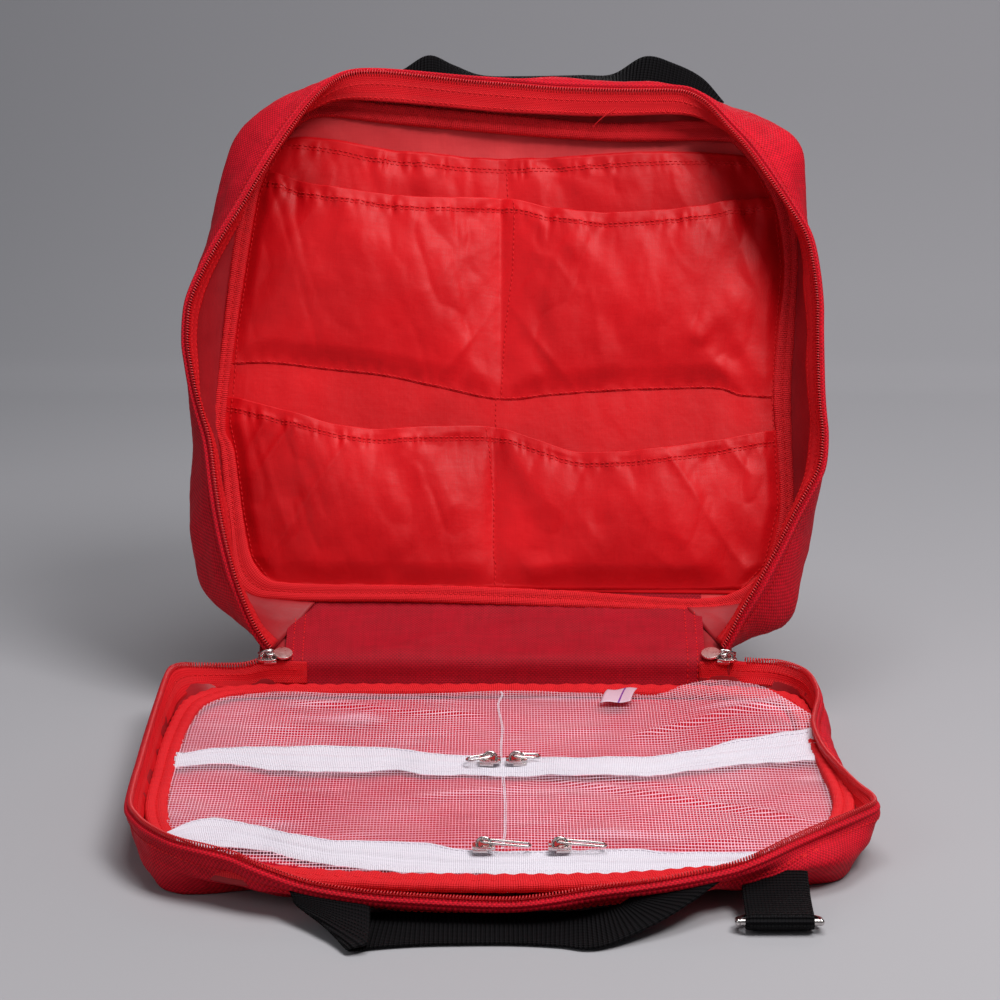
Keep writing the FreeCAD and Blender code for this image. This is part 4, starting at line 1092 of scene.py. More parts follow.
HL = cloth_strip(hinge_pts(0.0, 0.55), 24, 1)
HH_ = cloth_strip(hinge_pts(0.55, 1.0), 20, 1)
U = uv_of(np.concatenate([HL, HH_[:, 1:]], 1))
o = shell("folding_gusset_lower_cloth", HL, -0.35, 0.35, M["strip"], uv=U[:, :24])
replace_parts(o, "hinge_panel_lower")
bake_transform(o)
crisp(o, *HL.shape[:2])
o = shell("folding_gusset_upper_cloth", HH_, -0.35, 0.35, M["strip"], uv=U[:, 23:])
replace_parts(o, "hinge_panel")
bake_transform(o)
crisp(o, *HH_.shape[:2])
full = np.concatenate([HL, HH_[:, 1:]], 1)
nn = normals(full)
if nn[..., 2].mean() < 0:
    nn = -nn
mm_ = full.shape[1]
low_rows = [row_on(HL, np.full(23, a), np.arange(23) * 1.0, nn[:, :24], 1.0, 0.45) for a in (2.0, 4.6, 105.4, 108.0)]
high_rows = [row_on(HH_, np.full(19, a), np.arange(19) * 1.0, nn[:, 23:], 1.0, 0.45) for a in (2.0, 4.6, 105.4, 108.0)]
o = stitches("folding_gusset_stitching_low", low_rows, M["thread"])
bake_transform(o)
o = stitches("folding_gusset_stitching_high", high_rows, M["thread"])
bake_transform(o)

# lining outside the strip's ends, from the front seam up past the slider to the back seam
for side, d in (("left", -1), ("right", 1)):
    def end_pts(xs, t, d=d):
        y, z = strip_line(t, xs)
        x = d * ((113.0 if d < 0 else 105.0) + 13.0 * (xs + 1) / 2 + 4.0 * math.sin(math.pi * t) * (xs + 1) / 2)
        w = 1.6 * fbm(x / 14 + 5 * d, t * 4.0, 421) - 1.6 + 2.0 * math.sin(math.pi * t) * (xs + 1) / 2 * 0.4
        e = math.sin(math.pi * min(max(t, 0.02), 0.98)) ** 0.6
        return np.stack([x, y - w * e * S18, z + w * e * C18 - 0.8], -1)

    xs_ = np.linspace(-1, 1, 15)
    for tag, t0, t1, ends in (("lower", 0.0, 0.4, ("front_half", "hinge_strip", (0, 0.1485, 0.026), (0, 0.157, 0.036))), ("upper", 0.4, 1.0, ("hinge_strip", "back_half", (0, 0.168, 0.039), (0, 0.197, 0.050)))):
        V = np.linspace(t0, t1, 22)
        g = np.stack([end_pts(xs_, t) for t in V], 1)
        # these pieces take the lining copy with painted shade
        o = shell(f"fold_lining_{side}_{tag}", g, -0.25, 0.25, M["lining_dark"])
        if tag == "lower" and side == "left":
            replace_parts(o, "main_zipper_ends")
        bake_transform(o)

# ================================================================== front half, as (x, y, z)
FC = (0.0, 0.0)
F_RIM = Around(
    [(-104, 150, 31.5), (-113, 150, 31.8), (-122, 150, 32.2), (-128, 149, 31.6), (-133, 149.5, 29.5), (-140, 150, 28), (-152, 152, 27.5), (-164, 149.5, 28.5), (-171, 142, 30.5), (-175.5, 129, 31), (-177, 90, 29), (-178, 40, 26.5), (-178, -5, 26), (-178, -37, 26), (-177, -70, 26), (-173, -86, 26), (-165, -105, 26.5), (-151, -125, 27), (-135, -135, 26.5), (-123, -140, 25), (-113, -147, 23), (-90, -155, 17.5), (-67, -160, 15), (-44, -162, 13.5), (-2, -165, 12.5), (18, -165, 14), (41, -161, 16.5), (59, -160, 18.5), (76, -157, 20), (95, -150.5, 21.5), (106, -145.5, 22.5), (118, -139, 25), (133, -122, 26), (149, -104, 26.5), (165, -87, 27), (175, -75, 27.5), (175, -62, 27), (170.5, -44, 26), (164, -10, 25), (159, 20, 25), (157, 51, 26), (159, 71, 26.5), (163, 100, 28), (160, 131, 29.5), (148, 150, 29.5), (135, 157, 28.5), (126, 154, 30), (120, 151, 32), (113, 150, 32), (104, 150, 31.5)],
    FC,
    -1.0,
)
F_BASE = Around(
    [(-104, 151, 2), (-125, 150, 1.2), (-146, 146, 0.8), (-160, 135, 0.6), (-168, 115, 0.5), (-173, 60, 0.5), (-174, 0, 0.5), (-173, -40, 0.5), (-169, -75, 0.5), (-160, -105, 0.5), (-149, -120, 0.4), (-138, -122, 0.4), (-122, -117, 0.6), (-100, -114, 0.8), (-60, -113, 0.8), (0, -112, 0.8), (60, -112, 0.8), (100, -112, 0.7), (128, -113, 0.5), (145, -110, 0.4), (156, -103, 0.4), (163, -88, 0.5), (168, -60, 0.5), (166, 0, 0.5), (164, 60, 0.5), (163, 100, 0.5), (160, 130, 0.6), (148, 146, 0.8), (126, 150, 1.2), (104, 151, 2)],
    FC,
    -1.0,
)
F_BELLY = Around(
    [(-104, 152.5, 16), (-125, 152, 14), (-148, 151, 13), (-165, 141, 13), (-174, 120, 13), (-178, 60, 12), (-179, 0, 12), (-178, -40, 12), (-175, -75, 12), (-166, -106, 12), (-155, -124, 12), (-140, -132, 11), (-124, -136, 10), (-100, -146, 9.0), (-60, -155, 7.0), (0, -158, 6.0), (60, -154, 8.5), (100, -142, 10.5), (126, -132, 12), (146, -120, 13), (161, -106, 13), (170, -88, 13), (174, -60, 13), (170, 0, 12), (166, 60, 13), (167, 100, 13), (164, 130, 13), (150, 149, 13), (126, 152, 14), (104, 152.5, 16)],
    FC,
    -1.0,
)
F_SEAM = Around(
    [(-104, 148.5, 12), (-125, 147.5, 12), (-148, 142, 12), (-160, 131, 12), (-167, 110, 12), (-171, 60, 12), (-171, 0, 12), (-170, -50, 12), (-165, -85, 12), (-154, -112, 12), (-138, -132, 12), (-112, -143, 11), (-60, -150, 9), (0, -151, 8), (60, -149, 9), (108, -141, 11), (132, -130, 12), (150, -112, 12), (160, -90, 12), (166, -50, 12), (165, 0, 12), (161, 60, 12), (160, 100, 12), (156, 128, 12), (144, 142, 12), (125, 147.5, 12), (104, 148.5, 12)],
    FC,
    -1.0,
)
FLO, FHI = -145.1, 145.1
FA = F_RIM.angles(FLO, FHI, 2.6)
frim = blur(F_RIM(FA), 2)
fbase, fbelly, fseam = (blur(c(FA), 3) for c in (F_BASE, F_BELLY, F_SEAM))
frun = length(frim)
NF = len(FA)
frad = unit(np.stack([frim[:, 0], frim[:, 1], 0 * frun], 1))
fout = unit(np.stack([fbelly[:, 0] - 0.55 * frim[:, 0], fbelly[:, 1] - 0.55 * frim[:, 1], 0 * frun], 1))
faway = unit(fbelly - frim - frad * 0.01)
fl1 = frim + fout * 1.6 + np.array([0, 0, -1.8])
fl2 = frim + fout * 2.2 + np.array([0, 0, -4.6])
fmid = frim * 0.4 + fbelly * 0.6 + fout * 1.6
fout_g = across([frim + fout * 0.3, fl1, fl2, fmid, fbelly + fout * 0.8, fbase * 0.6 + fbelly * 0.4 + fout * 0.6, fbase, fbase - fout * 4 + np.array([0, 0, 0.1])], 28)
fw_ = np.linspace(0, 1, 28)[None, :] * np.ones((NF, 1))
fr_ = np.repeat(frun[:, None], 28, 1)
fe = smooth(fw_ / 0.28) * smooth((1 - fw_) / 0.22)
fwr = 2.0 * (fold(fr_ / 40.0, fw_ * 1.2 + fr_ / 150, 505) - 0.58) + 0.9 * fbm(fr_ / 14.0, fw_ * 3.0, 509)
fn_ = normals(fout_g)
if (fn_[NF // 2, 12] @ np.array([0, -1.0, 0])) < 0:
    fsign = -1.0
else:
    fsign = 1.0
fout_g = fout_g + fn_ * (fsign * fwr * fe)[..., None]
for a0, w0, deep in ((-47.0, 1.9, -1.6), (-38.0, 2.4, 2.6), (-57.0, 3.0, 2.4), (49.0, 2.2, -1.4), (40.0, 2.4, 2.2)):
    bump_ = deep * np.exp(-(((FA[:, None] - a0 - 9.0 * (fw_ - 0.5)) / w0) ** 2)) * smooth((fw_ - 0.25) / 0.3) * smooth((0.98 - fw_) / 0.1)
    fout_g = fout_g + fn_ * (fsign * bump_)[..., None]
fout_g[..., 2] = np.maximum(fout_g[..., 2], 0.45)
o = shell("front_wall_fabric", fout_g, -0.35, 0.35, M["outer"])
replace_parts(o, "front_gusset")
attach(o, "front_half")
front_wall_fabric = o
ftape_edge = frim * 0.38 + fseam * 0.62 - frad * 0.8
FT = across([frim - frad * 1.2, frim * 0.7 + ftape_edge * 0.3 - frad * 0.9, frim * 0.3 + ftape_edge * 0.7 - frad * 0.4, ftape_edge], 11)
ftr = np.repeat(frun[:, None], 11, 1)
ftv = np.linspace(0, 1, 11)[None, :] * np.ones((NF, 1))
FT = FT + normals(FT) * (0.6 * fbm(ftr / 12.0, ftv, 531) * ftv + 0.4 * np.sin(ftr / 6.0) * ftv**3)[..., None]
o = shell("front_zipper_tape_cloth", FT, -0.3, 0.3, M["tape"])
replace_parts(o, "front_zipper_tape")
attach(o, "front_half")
front_tape = o
FLN = across([frim - frad * 0.1 + np.array([0, 0, -1.2]), frim * 0.6 + fseam * 0.4 - fout * 0.9, frim * 0.25 + fseam * 0.75 - fout * 0.6, fseam, fseam - frad * 2.5 + np.array([0, 0, 0.6])], 16)
flr = np.repeat(frun[:, None], 16, 1)
flv = np.linspace(0, 1, 16)[None, :] * np.ones((NF, 1))
FLN = FLN + normals(FLN) * (0.5 * (fold(flr / 26.0, flv * 1.4, 551) - 0.55) * smooth(flv / 0.4) * smooth((1 - flv) / 0.3))[..., None]
# the wall lining takes the copy with painted shade
o = shell("front_wall_lining", FLN, -0.2, 0.2, M["lining_dark"])
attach(o, "front_half")
front_wall_lining = o
i0, i1 = np.searchsorted(FA, [-139.8, 140.6])
fpath = (frim - frad * 0.3 + np.array([0, 0, 1.0]))[i0:i1]
fup = unit(np.cross(tangents(frim), ftape_edge - frim))[i0:i1]
o = coil("front_zipper_coil_spiral", fpath, fup, M["coil"])
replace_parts(o, "front_zipper_coil")
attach(o, "front_half")
fpipe = (frim + fout * 1.6 + np.array([0, 0, -1.7]))[i0:i1]
v, f = tube_mesh(fpipe, 1.35, 8)
o = new_mesh("front_edge_fold", v, f, M["outer"], uv=np.stack([np.repeat(length(fpipe), 8), np.tile(np.arange(8) * 1.0, len(fpipe))], 1) * 0.001)
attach(o, "front_half")
rows = [row_on(fout_g, np.arange(2, NF - 2), 5.0, normals(fout_g), fsign, 0.45)]
for sgn in (1.0, -1.0):
    rows.append(row_on(FT, np.arange(2, NF - 2), 3.6, None, sgn, 0.35))
o = stitches("front_wall_stitching", rows, M["thread"])
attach(o, "front_half")

# bottom pad and the lining seen through the mesh
F_BOT = Around([(-104, 147, 0), (-125, 146, 0), (-146, 141, 0), (-158, 130, 0), (-165, 110, 0), (-169, 60, 0), (-169, 0, 0), (-168, -50, 0), (-163, -82, 0), (-152, -108, 0), (-136, -119, 0), (-110, -116, 0), (-60, -114, 0), (0, -113, 0), (60, -113, 0), (108, -114, 0), (130, -112, 0), (148, -104, 0), (158, -88, 0), (163, -50, 0), (162, 0, 0), (160, 60, 0), (158, 100, 0), (154, 127, 0), (142, 141, 0), (125, 146, 0), (104, 147, 0), (0, 147, 0)], FC, -1.0, closed=True)
F_TOP = Around([(-104, 146, 0), (-125, 145, 0), (-146, 140, 0), (-158, 129, 0), (-165, 108, 0), (-168, 60, 0), (-168, 0, 0), (-167, -50, 0), (-161, -84, 0), (-150, -110, 0), (-134, -128, 0), (-110, -138, 0), (-60, -145, 0), (0, -147, 0), (60, -145, 0), (104, -138, 0), (128, -126, 0), (146, -110, 0), (157, -88, 0), (162, -50, 0), (161, 0, 0), (159, 60, 0), (157, 100, 0), (153, 127, 0), (141, 140, 0), (125, 145, 0), (104, 146, 0), (0, 146, 0)], FC, -1.0, closed=True)
ba = F_TOP.angles(-180, 180, 5.0)
bt, bb = F_TOP(ba), F_BOT(ba)
bt[-1], bb[-1] = bt[0], bb[0]
top_d = disc(bt, FC, lambda x, y, t: 14.5 + 1.0 * np.clip(1 - t**5, 0, 1) + 1.2 * fbm(x / 40, y / 40, 601) * (1 - t**4) - 3.0 * smooth((-y - 118) / 30) * smooth((t - 0.6) / 0.4))
bot_d = disc(bb, FC, lambda x, y, t: 0.35 + 1.6 * smooth((t - 0.9) / 0.1) + 0 * x)
n_, m_ = top_d.shape[:2]
k_ = n_ * m_
e_ = np.arange(k_).reshape(n_, m_)[:, -1]
fo = [quads(n_, m_, flip=True), quads(n_, m_, base=k_, flip=False), np.stack([e_[:-1], e_[1:], e_[1:] + k_, e_[:-1] + k_], 1)]
o = new_mesh("front_base_pad", np.vstack([top_d.reshape(-1, 3), bot_d.reshape(-1, 3)]), np.vstack(fo), M["tray"], np.vstack([plan_uv(top_d).reshape(-1, 2)] * 2), weld=True)
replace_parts(o, "front_panel")
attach(o, "front_half")

F_BIND_OUT = [(-104, 147, 17), (-125, 146.5, 17), (-148, 142, 17), (-160, 131, 17.5), (-168, 110, 17.5), (-172, 60, 17), (-172.5, 0, 16.5), (-171.5, -50, 16.5), (-166, -85, 16.5), (-156, -110, 16), (-140, -130, 15.5), (-112, -143, 14.5), (-60, -150.5, 13.5), (0, -151.5, 12.5), (60, -149.5, 14), (108, -141, 15.5), (132, -129, 16.5), (150, -111, 17), (160, -90, 17.5), (168, -50, 18.5), (166.5, 0, 18.5), (163, 40, 18), (161.5, 60, 17), (160, 100, 16), (156, 127, 16), (143, 141, 16), (125, 146, 16), (104, 147, 16.5), (0, 147.5, 17)]
F_BIND_IN = [(-104, 136, 17), (-125, 135.5, 17), (-141, 132, 17), (-151, 122, 17.5), (-158, 105, 17.5), (-162, 60, 17), (-162.5, 0, 16.5), (-161.5, -48, 16.5), (-156, -79, 16.5), (-147, -101, 16), (-132, -119, 15.5), (-108, -131, 15), (-60, -138.5, 14.5), (0, -139.5, 13.5), (60, -138.5, 14.5), (104, -130.5, 15.5), (125, -119.5, 16.5), (141, -104, 17), (151, -84, 17.5), (158.5, -48, 18.5), (157, 0, 18.5), (154, 40, 18), (152, 60, 17), (150, 97, 16), (146, 120, 15.5), (136, 131, 15), (122, 135, 15.5), (104, 136, 16), (0, 136.5, 17)]
bind_front, BIND_F = binding("front_binding_tape", F_BIND_OUT, F_BIND_IN, FC, flat, 0.6, 13, "front_half", "front_seam_binding", sign=-1.0, tall=2.4, pucker=1.1)

# ------------------------------------------------------------------ mesh pockets of the front half
UZ_TOP = [(-166, 32), (-158, 30.5), (-141, 40), (-103, 44), (-68, 41), (-40, 33), (-10, 27), (13, 26), (45, 25.5), (77, 27), (112, 46), (135, 52), (158, 60)]
UZ_LOW = [(-166, 8), (-163, 9), (-139, 15.5), (-112, 6), (-67, 4), (-23, -2), (0, -3), (51, -4), (78, 0), (103, 9), (130, 15), (158, 21)]
LZ_TOP = [(-161, -97), (-154, -88), (-143, -71), (-130, -72), (-116, -79), (-93, -95), (-45, -103), (-2, -111), (36, -112), (66, -112), (96, -114), (118, -116), (140, -118)]
LZ_LOW = [(-161, -104), (-150, -106), (-138, -109), (-114, -112), (-83, -126), (-33, -134), (-2, -137), (17, -140), (42, -138), (70, -137), (101, -134), (118, -130), (140, -122)]
M_REAR = [(-162, 126), (-140, 134.5), (-104, 137.5), (-50, 137.5), (0, 137.5), (50, 136), (84, 131), (100, 134), (120, 140), (135, 138), (147, 120), (151, 101), (158, 74)]
M_FRONT = [(-162, -96), (-150, -104), (-132, -121), (-108, -132), (-60, -139.5), (0, -140.5), (60, -139.5), (104, -131), (125, -121), (142, -106)]
LEFT_X = [(136, -140), (120, -153), (104, -159), (60, -163), (0, -163.5), (-48, -162.5), (-79, -157), (-101, -148), (-119, -134), (-140, -100)]
RIGHT_X = [(140, 126), (128, 143), (110, 149.5), (97, 152.5), (72, 158), (40, 158), (0, 158.5), (-48, 159.5), (-84, 152.5), (-104, 142), (-119.5, 127), (-138, 100)]


def look(pts, q):
    d = dense(pts)
    o_ = np.argsort(d[:, 0])
    return np.interp(q, d[o_, 0], d[o_, 1])


def mesh_level(x, y):
    """Height of the mesh layer: it sags between the bindings and rides up at the rear right corner."""
    z = 18.6 + 0.9 * fbm(x / 55, y / 45, 701) + 1.3 * (fold(x / 70 + y / 200, y / 40 - x / 160, 707) - 0.62)
    z = z - 3.0 * smooth((-y - 95) / 45)
    z = z + 5.4 * smooth((x - 78) / 46) * smooth((y - 26) / 50) + 1.6 * smooth((x - 70) / 50) * smooth((y - 70) / 50)
    z = z + 1.4 * smooth((-x - 90) / 50) * np.exp(-(((y + 82) / 30) ** 2))
    z = z + 1.5 * np.exp(-((((x + 20) * 0.24 + (y - 96)) / 4.0) ** 2)) * smooth((x + 120) / 30) * smooth((-x) / 30)
    z = z + 2.0 * np.exp(-((((x - 92) * -0.45 + (y - 74)) / 4.5) ** 2)) * smooth((x - 60) / 20) * smooth((150 - x) / 20)
    z = z + 1.8 * np.exp(-((((x - 85) * 0.50 + (y + 40)) / 5.0) ** 2)) * smooth((x - 10) / 30) * smooth((150 - x) / 20)
    z = z + 1.2 * np.exp(-((((x - 60) * 0.35 + (y + 10)) / 6.0) ** 2)) * smooth((x + 10) / 30) * smooth((130 - x) / 20)
    return z


def mesh_panel(name, node, top, low, x0, x1, n=121, m=60, z_extra=0.0, over=1.0):
    xs = np.linspace(x0, x1, n)
    yt, yl = top(xs), low(xs)
    t = np.linspace(0, 1, m)
    y = yl[:, None] * (1 - t) + yt[:, None] * t
    x = np.repeat(xs[:, None], m, 1)
    # the side edges follow the binding
    lx, rx = look(LEFT_X, y) - over, look(RIGHT_X, y) + over
    f_ = (x - x0) / (x1 - x0)
    x = lx * (1 - f_) + rx * f_
    z = mesh_level(x, y) + z_extra
    g = np.stack([x, y, z], -1)
    uv = np.stack([x * 0.001, y * 0.001], -1)
    ob = shell(name, g, -0.12, 0.12, M["net"], uv=uv)
    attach(ob, "front_half")
    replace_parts(ob, node)
    return ob, g


mesh_rear, GMR = mesh_panel("rear_mesh_net", "mesh_rear", lambda x: look(M_REAR, x), lambda x: look(UZ_TOP, x) - 3, -160, 157)
mesh_mid, GMM = mesh_panel("middle_mesh_net", "mesh_middle", lambda x: look(UZ_LOW, x) + 3, lambda x: look(LZ_TOP, x) - 3, -160, 157, m=70)
mesh_front, GMF = mesh_panel("front_mesh_net", "mesh_front", lambda x: look(LZ_LOW, x) + 3, lambda x: np.minimum(look(M_FRONT, x), look(LZ_LOW, x) - 1.0), -150, 134, m=24)


def white_zip(tag, top, low, x0, x1, seed):
    """A white zipper: two ribbed tapes with wavy sewn edges and the covered coil's ridge between them."""
    xs = np.linspace(x0, x1, 240)
    yt, yl = look(top, xs), look(low, xs)
    yt = yt + 0.4 * np.sin(xs / 3.1) * (0.5 + 0.5 * noise(xs / 21, 0.1, seed)) + 2.4 * noise(xs / 19, 0.5, seed)
    yl = yl + 0.4 * np.sin(xs / 2.9 + 1) * (0.5 + 0.5 * noise(xs / 23, 0.9, seed)) + 2.4 * noise(xs / 18, 0.2, seed + 1)
    m = 41
    t = np.linspace(0, 1, m)
    y = yl[:, None] * (1 - t) + yt[:, None] * t
    x = np.repeat(xs[:, None], m, 1)
    c = np.abs(t - 0.5) * 30.0
    ridge = 1.3 * np.exp(-((c / 2.3) ** 4)) + 0.6 * np.exp(-(((c - 5.4) / 0.9) ** 2)) + 0.6 * np.exp(-(((c - 8.8) / 0.9) ** 2)) + 0.6 * np.exp(-(((c - 12.4) / 1.0) ** 2))
    edge = 0.8 * noise(x / 9.0, (t > 0.5) * 3.0 + 0 * x, seed + 3) * (np.abs(t - 0.5) * 2) ** 3 + 0.5 * noise(x / 4.0, (t > 0.5) * 3.0 + 0 * x, seed + 4) * (np.abs(t - 0.5) * 2) ** 4
    z = mesh_level(x, y) + 0.45 + ridge[None, :] + 0.4 * edge - 0.55 * (np.abs(t - 0.5) * 2) ** 6
    g = np.stack([x, y, z], -1)
    ob = shell(f"{tag}_white_zipper_tape", g, -0.3, 0.3, M["white_tape"])
    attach(ob, "front_half")
    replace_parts(ob, f"{tag}_pocket_zipper_tape", f"{tag}_pocket_zipper_coil")
    nn = normals(g)
    if nn[..., 2].mean() < 0:
        nn = -nn
    a = np.arange(2, 238) * 1.0
    rows_ = [row_on(g, a, np.full(len(a), b), nn, 1.0, 0.4) for b in (4.6, m - 1 - 4.6)]
    st = stitches(f"{tag}_white_zipper_stitching", rows_, M["white_thread"], pitch=2.6, size=1.9, wide=0.5, tall=0.3)
    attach(st, "front_half")
    return ob, g


zip_up, GZU = white_zip("upper", UZ_TOP, UZ_LOW, -163.5, 157.5, 801)
zip_low, GZL = white_zip("lower", LZ_TOP, LZ_LOW, -158.0, 136.0, 811)
# centre seam of the mesh pockets
rows = []
for g in (GMR, GMM):
    nn = normals(g)
    if nn[..., 2].mean() < 0:
        nn = -nn
    b_ = np.arange(2, g.shape[1] - 2) * 1.0
    for dx in (-0.35, 0.35):
        rows.append(row_on(g, np.interp(-1.0 + dx, g[:, 0, 0], np.arange(g.shape[0])) + 0 * b_, b_, nn, 1.0, 0.3))
o = stitches("mesh_centre_stitching", rows, M["white_thread"], pitch=2.8, size=2.2, wide=0.6, tall=0.35)
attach(o, "front_half")

# size label sewn into the rear binding
lb = np.zeros((15, 13, 3))
for i, x in enumerate(np.linspace(0, 17, 15)):
    for j, t in enumerate(np.linspace(0, 1, 13)):
        lb[i, j] = (50.5 + x * 0.92 + 4.5 * t, 107.0 + 24.0 * t, 21.3 + 1.2 * math.sin(t * 2.4 + 0.4) + 0.5 * math.sin(t * 3 + x * 0.4) + 0.05 * x)
o = shell("size_label", lb, -0.12, 0.12, M["label"])
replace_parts(o, "label_tag")
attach(o, "front_half")


# ================================================================== metalwork
def bevelled(name, outline_sets, mat, frame_, bevel=0.35, holes=()):
    """Plates given as (outline, z0, z1), each extruded and bevelled, in the local frame (origin, ex, ey, ez)."""
    import bmesh

    o0, ex, ey, ez = (np.asarray(q, float) for q in frame_)
    bm = bmesh.new()
    for pts, z0, z1 in outline_sets:
        vs = [bm.verts.new(Vector((x, y, z0))) for x, y in pts]
        face = bm.faces.new(vs)
        ret = bmesh.ops.extrude_face_region(bm, geom=[face])
        up = [g for g in ret["geom"] if isinstance(g, bmesh.types.BMVert)]
        for w in up:
            w.co.z = z1
    bmesh.ops.recalc_face_normals(bm, faces=bm.faces)
    if bevel:
        es = [e for e in bm.edges if e.calc_face_angle(0) > 0.5]
        bmesh.ops.bevel(bm, geom=es, offset=bevel, segments=3, profile=0.6, affect="EDGES", clamp_overlap=True)
    me = bpy.data.meshes.new(name)
    bm.to_mesh(me)
    bm.free()
    co = np.zeros(len(me.vertices) * 3)
    me.vertices.foreach_get("co", co)
    co = co.reshape(-1, 3)
    w = o0 + co[:, :1] * ex + co[:, 1:2] * ey + co[:, 2:] * ez
    me.vertices.foreach_set("co", (w * 0.001).ravel())
    me.polygons.foreach_set("use_smooth", np.ones(len(me.polygons), bool))
    me.update()
    me.materials.append(mat)
    o = bpy.data.objects.new(name, me)
    bpy.context.scene.collection.objects.link(o)
    return o


def round_poly(pts, r=0.8, n=5):
    """Outline with its corners rounded."""
    out = []
    k = len(pts)
    for i in range(k):
        a, b, c = np.array(pts[i - 1], float), np.array(pts[i], float), np.array(pts[(i + 1) % k], float)
        da, dc = a - b, c - b
        rr_ = min(r, 0.45 * np.linalg.norm(da), 0.45 * np.linalg.norm(dc))
        p0, p1 = b + da / np.linalg.norm(da) * rr_, b + dc / np.linalg.norm(dc) * rr_
        for t in np.linspace(0, 1, n):
            out.append(tuple((1 - t) ** 2 * p0 + 2 * t * (1 - t) * b + t * t * p1))
    return out


def slider_piece(name, node, body, at_, d, ex, ey, ez):
    """A zipper slider: shield-shaped top plate, turned-down flanges and an arched bridge."""
    ex = np.asarray(ex, float) * d
    top = round_poly([(-5.4, -3.0), (-2.0, -4.3), (3.2, -4.4), (5.4, -3.4), (5.2, -1.4), (1.8, 0), (5.2, 1.4), (5.4, 3.4), (3.2, 4.4), (-2.0, 4.3), (-5.4, 3.0)], 0.7)
    fl1 = round_poly([(-5.2, 3.2), (1.6, 3.4), (1.6, 4.5), (-2.0, 4.4), (-5.2, 3.9)], 0.3)
    fl2 = [(x, -y) for x, y in fl1][::-1]
    bridge_pts = round_poly([(-3.4, 0.9), (-3.4, -0.9), (3.0, -0.9), (3.0, 0.9)], 0.4)
    o = bevelled(name, [(top, 0.0, 1.5), (fl1, -1.2, 0.3), (fl2, -1.2, 0.3)], M["nickel"], (at_, ex, ey, ez))
    arc = np.array([(-3.3, 0, 1.2), (-3.1, 0, 2.9), (-1.8, 0, 4.3), (0, 0, 4.7), (1.8, 0, 4.2), (3.0, 0, 2.8), (3.2, 0, 1.2)])
    p = even(dense(arc), n=26)
    v, f = tube_mesh(np.asarray(at_, float) + p[:, :1] * ex + p[:, 1:2] * np.asarray(ey, float) + p[:, 2:] * np.asarray(ez, float), 0.72, 10)
    br = new_mesh(name + "_bridge", v, f, M["nickel"], uv=np.zeros((len(v), 2)))
    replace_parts(o, node)
    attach(o, body)
    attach(br, body)
    return o


def wire_pull(name, node, body, pivot, d, ex, ey, ez, reach, half_w, wire, droop, skew=0.0):
    """A bent-wire pull, long and narrow, through the slider's bridge."""
    ex = np.asarray(ex, float) * d
    c, s_ = math.cos(math.radians(droop)), math.sin(math.radians(droop))
    e1 = ex * c - np.asarray(ez, float) * s_
    e1 = e1 + np.asarray(ey, float) * skew
    e1 /= np.linalg.norm(e1)
    e2 = np.asarray(ey, float)
    pts = [(-1.3, 0), (-0.9, half_w * 0.7), (1.5, half_w), (reach * 0.5, half_w * 1.05), (reach - 2.2, half_w), (reach - 0.4, half_w * 0.62), (reach, 0), (reach - 0.4, -half_w * 0.62), (reach - 2.2, -half_w), (reach * 0.5, -half_w * 1.05), (1.5, -half_w), (-0.9, -half_w * 0.7)]
    q = dense([(a, b, 0) for a, b in pts], closed=True)
    q = even(q, n=90)[:-1]
    p = np.asarray(pivot, float) + q[:, :1] * e1 + q[:, 1:2] * e2
    v, f = tube_mesh(p, wire, 8, up=np.tile(np.cross(e1, e2), (len(p), 1)), closed=True)
    o = new_mesh(name, v, f, M["nickel"], uv=np.zeros((len(v), 2)))
    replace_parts(o, node)
    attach(o, body)
    return o


SZ = 20.95
UPY, LOWY = 12.0, -116.0
X_, Y_, Z_ = (1, 0, 0), (0, 1, 0), (0, 0, 1)
for side, x, d in (("left", -6.5, -1), ("right", 6.5, 1)):
    slider_piece(f"upper_slider_{side}_body", f"upper_slider_{side}", f"upper_slider_{side}", (x, UPY, SZ), -d, X_, Y_, Z_)
    wire_pull(f"upper_pull_{side}_wire", f"upper_pull_{side}", f"upper_pull_{side}", (x, UPY, SZ + 3.2), d, X_, Y_, Z_, 12.0, 2.6, 0.6, 7.0, 0.25 * d)
for side, x, d in (("left", -9.0, -1), ("right", 26.0, 1)):
    slider_piece(f"lower_slider_{side}_body", f"lower_slider_{side}", f"lower_slider_{side}", (x, LOWY, SZ), -d, X_, Y_, Z_)
    wire_pull(f"lower_pull_{side}_wire", f"lower_pull_{side}", f"lower_pull_{side}", (x, LOWY, SZ + 3.2), 1, X_, Y_, Z_, 21.5, 2.3, 0.6, 5.5, 0.0)

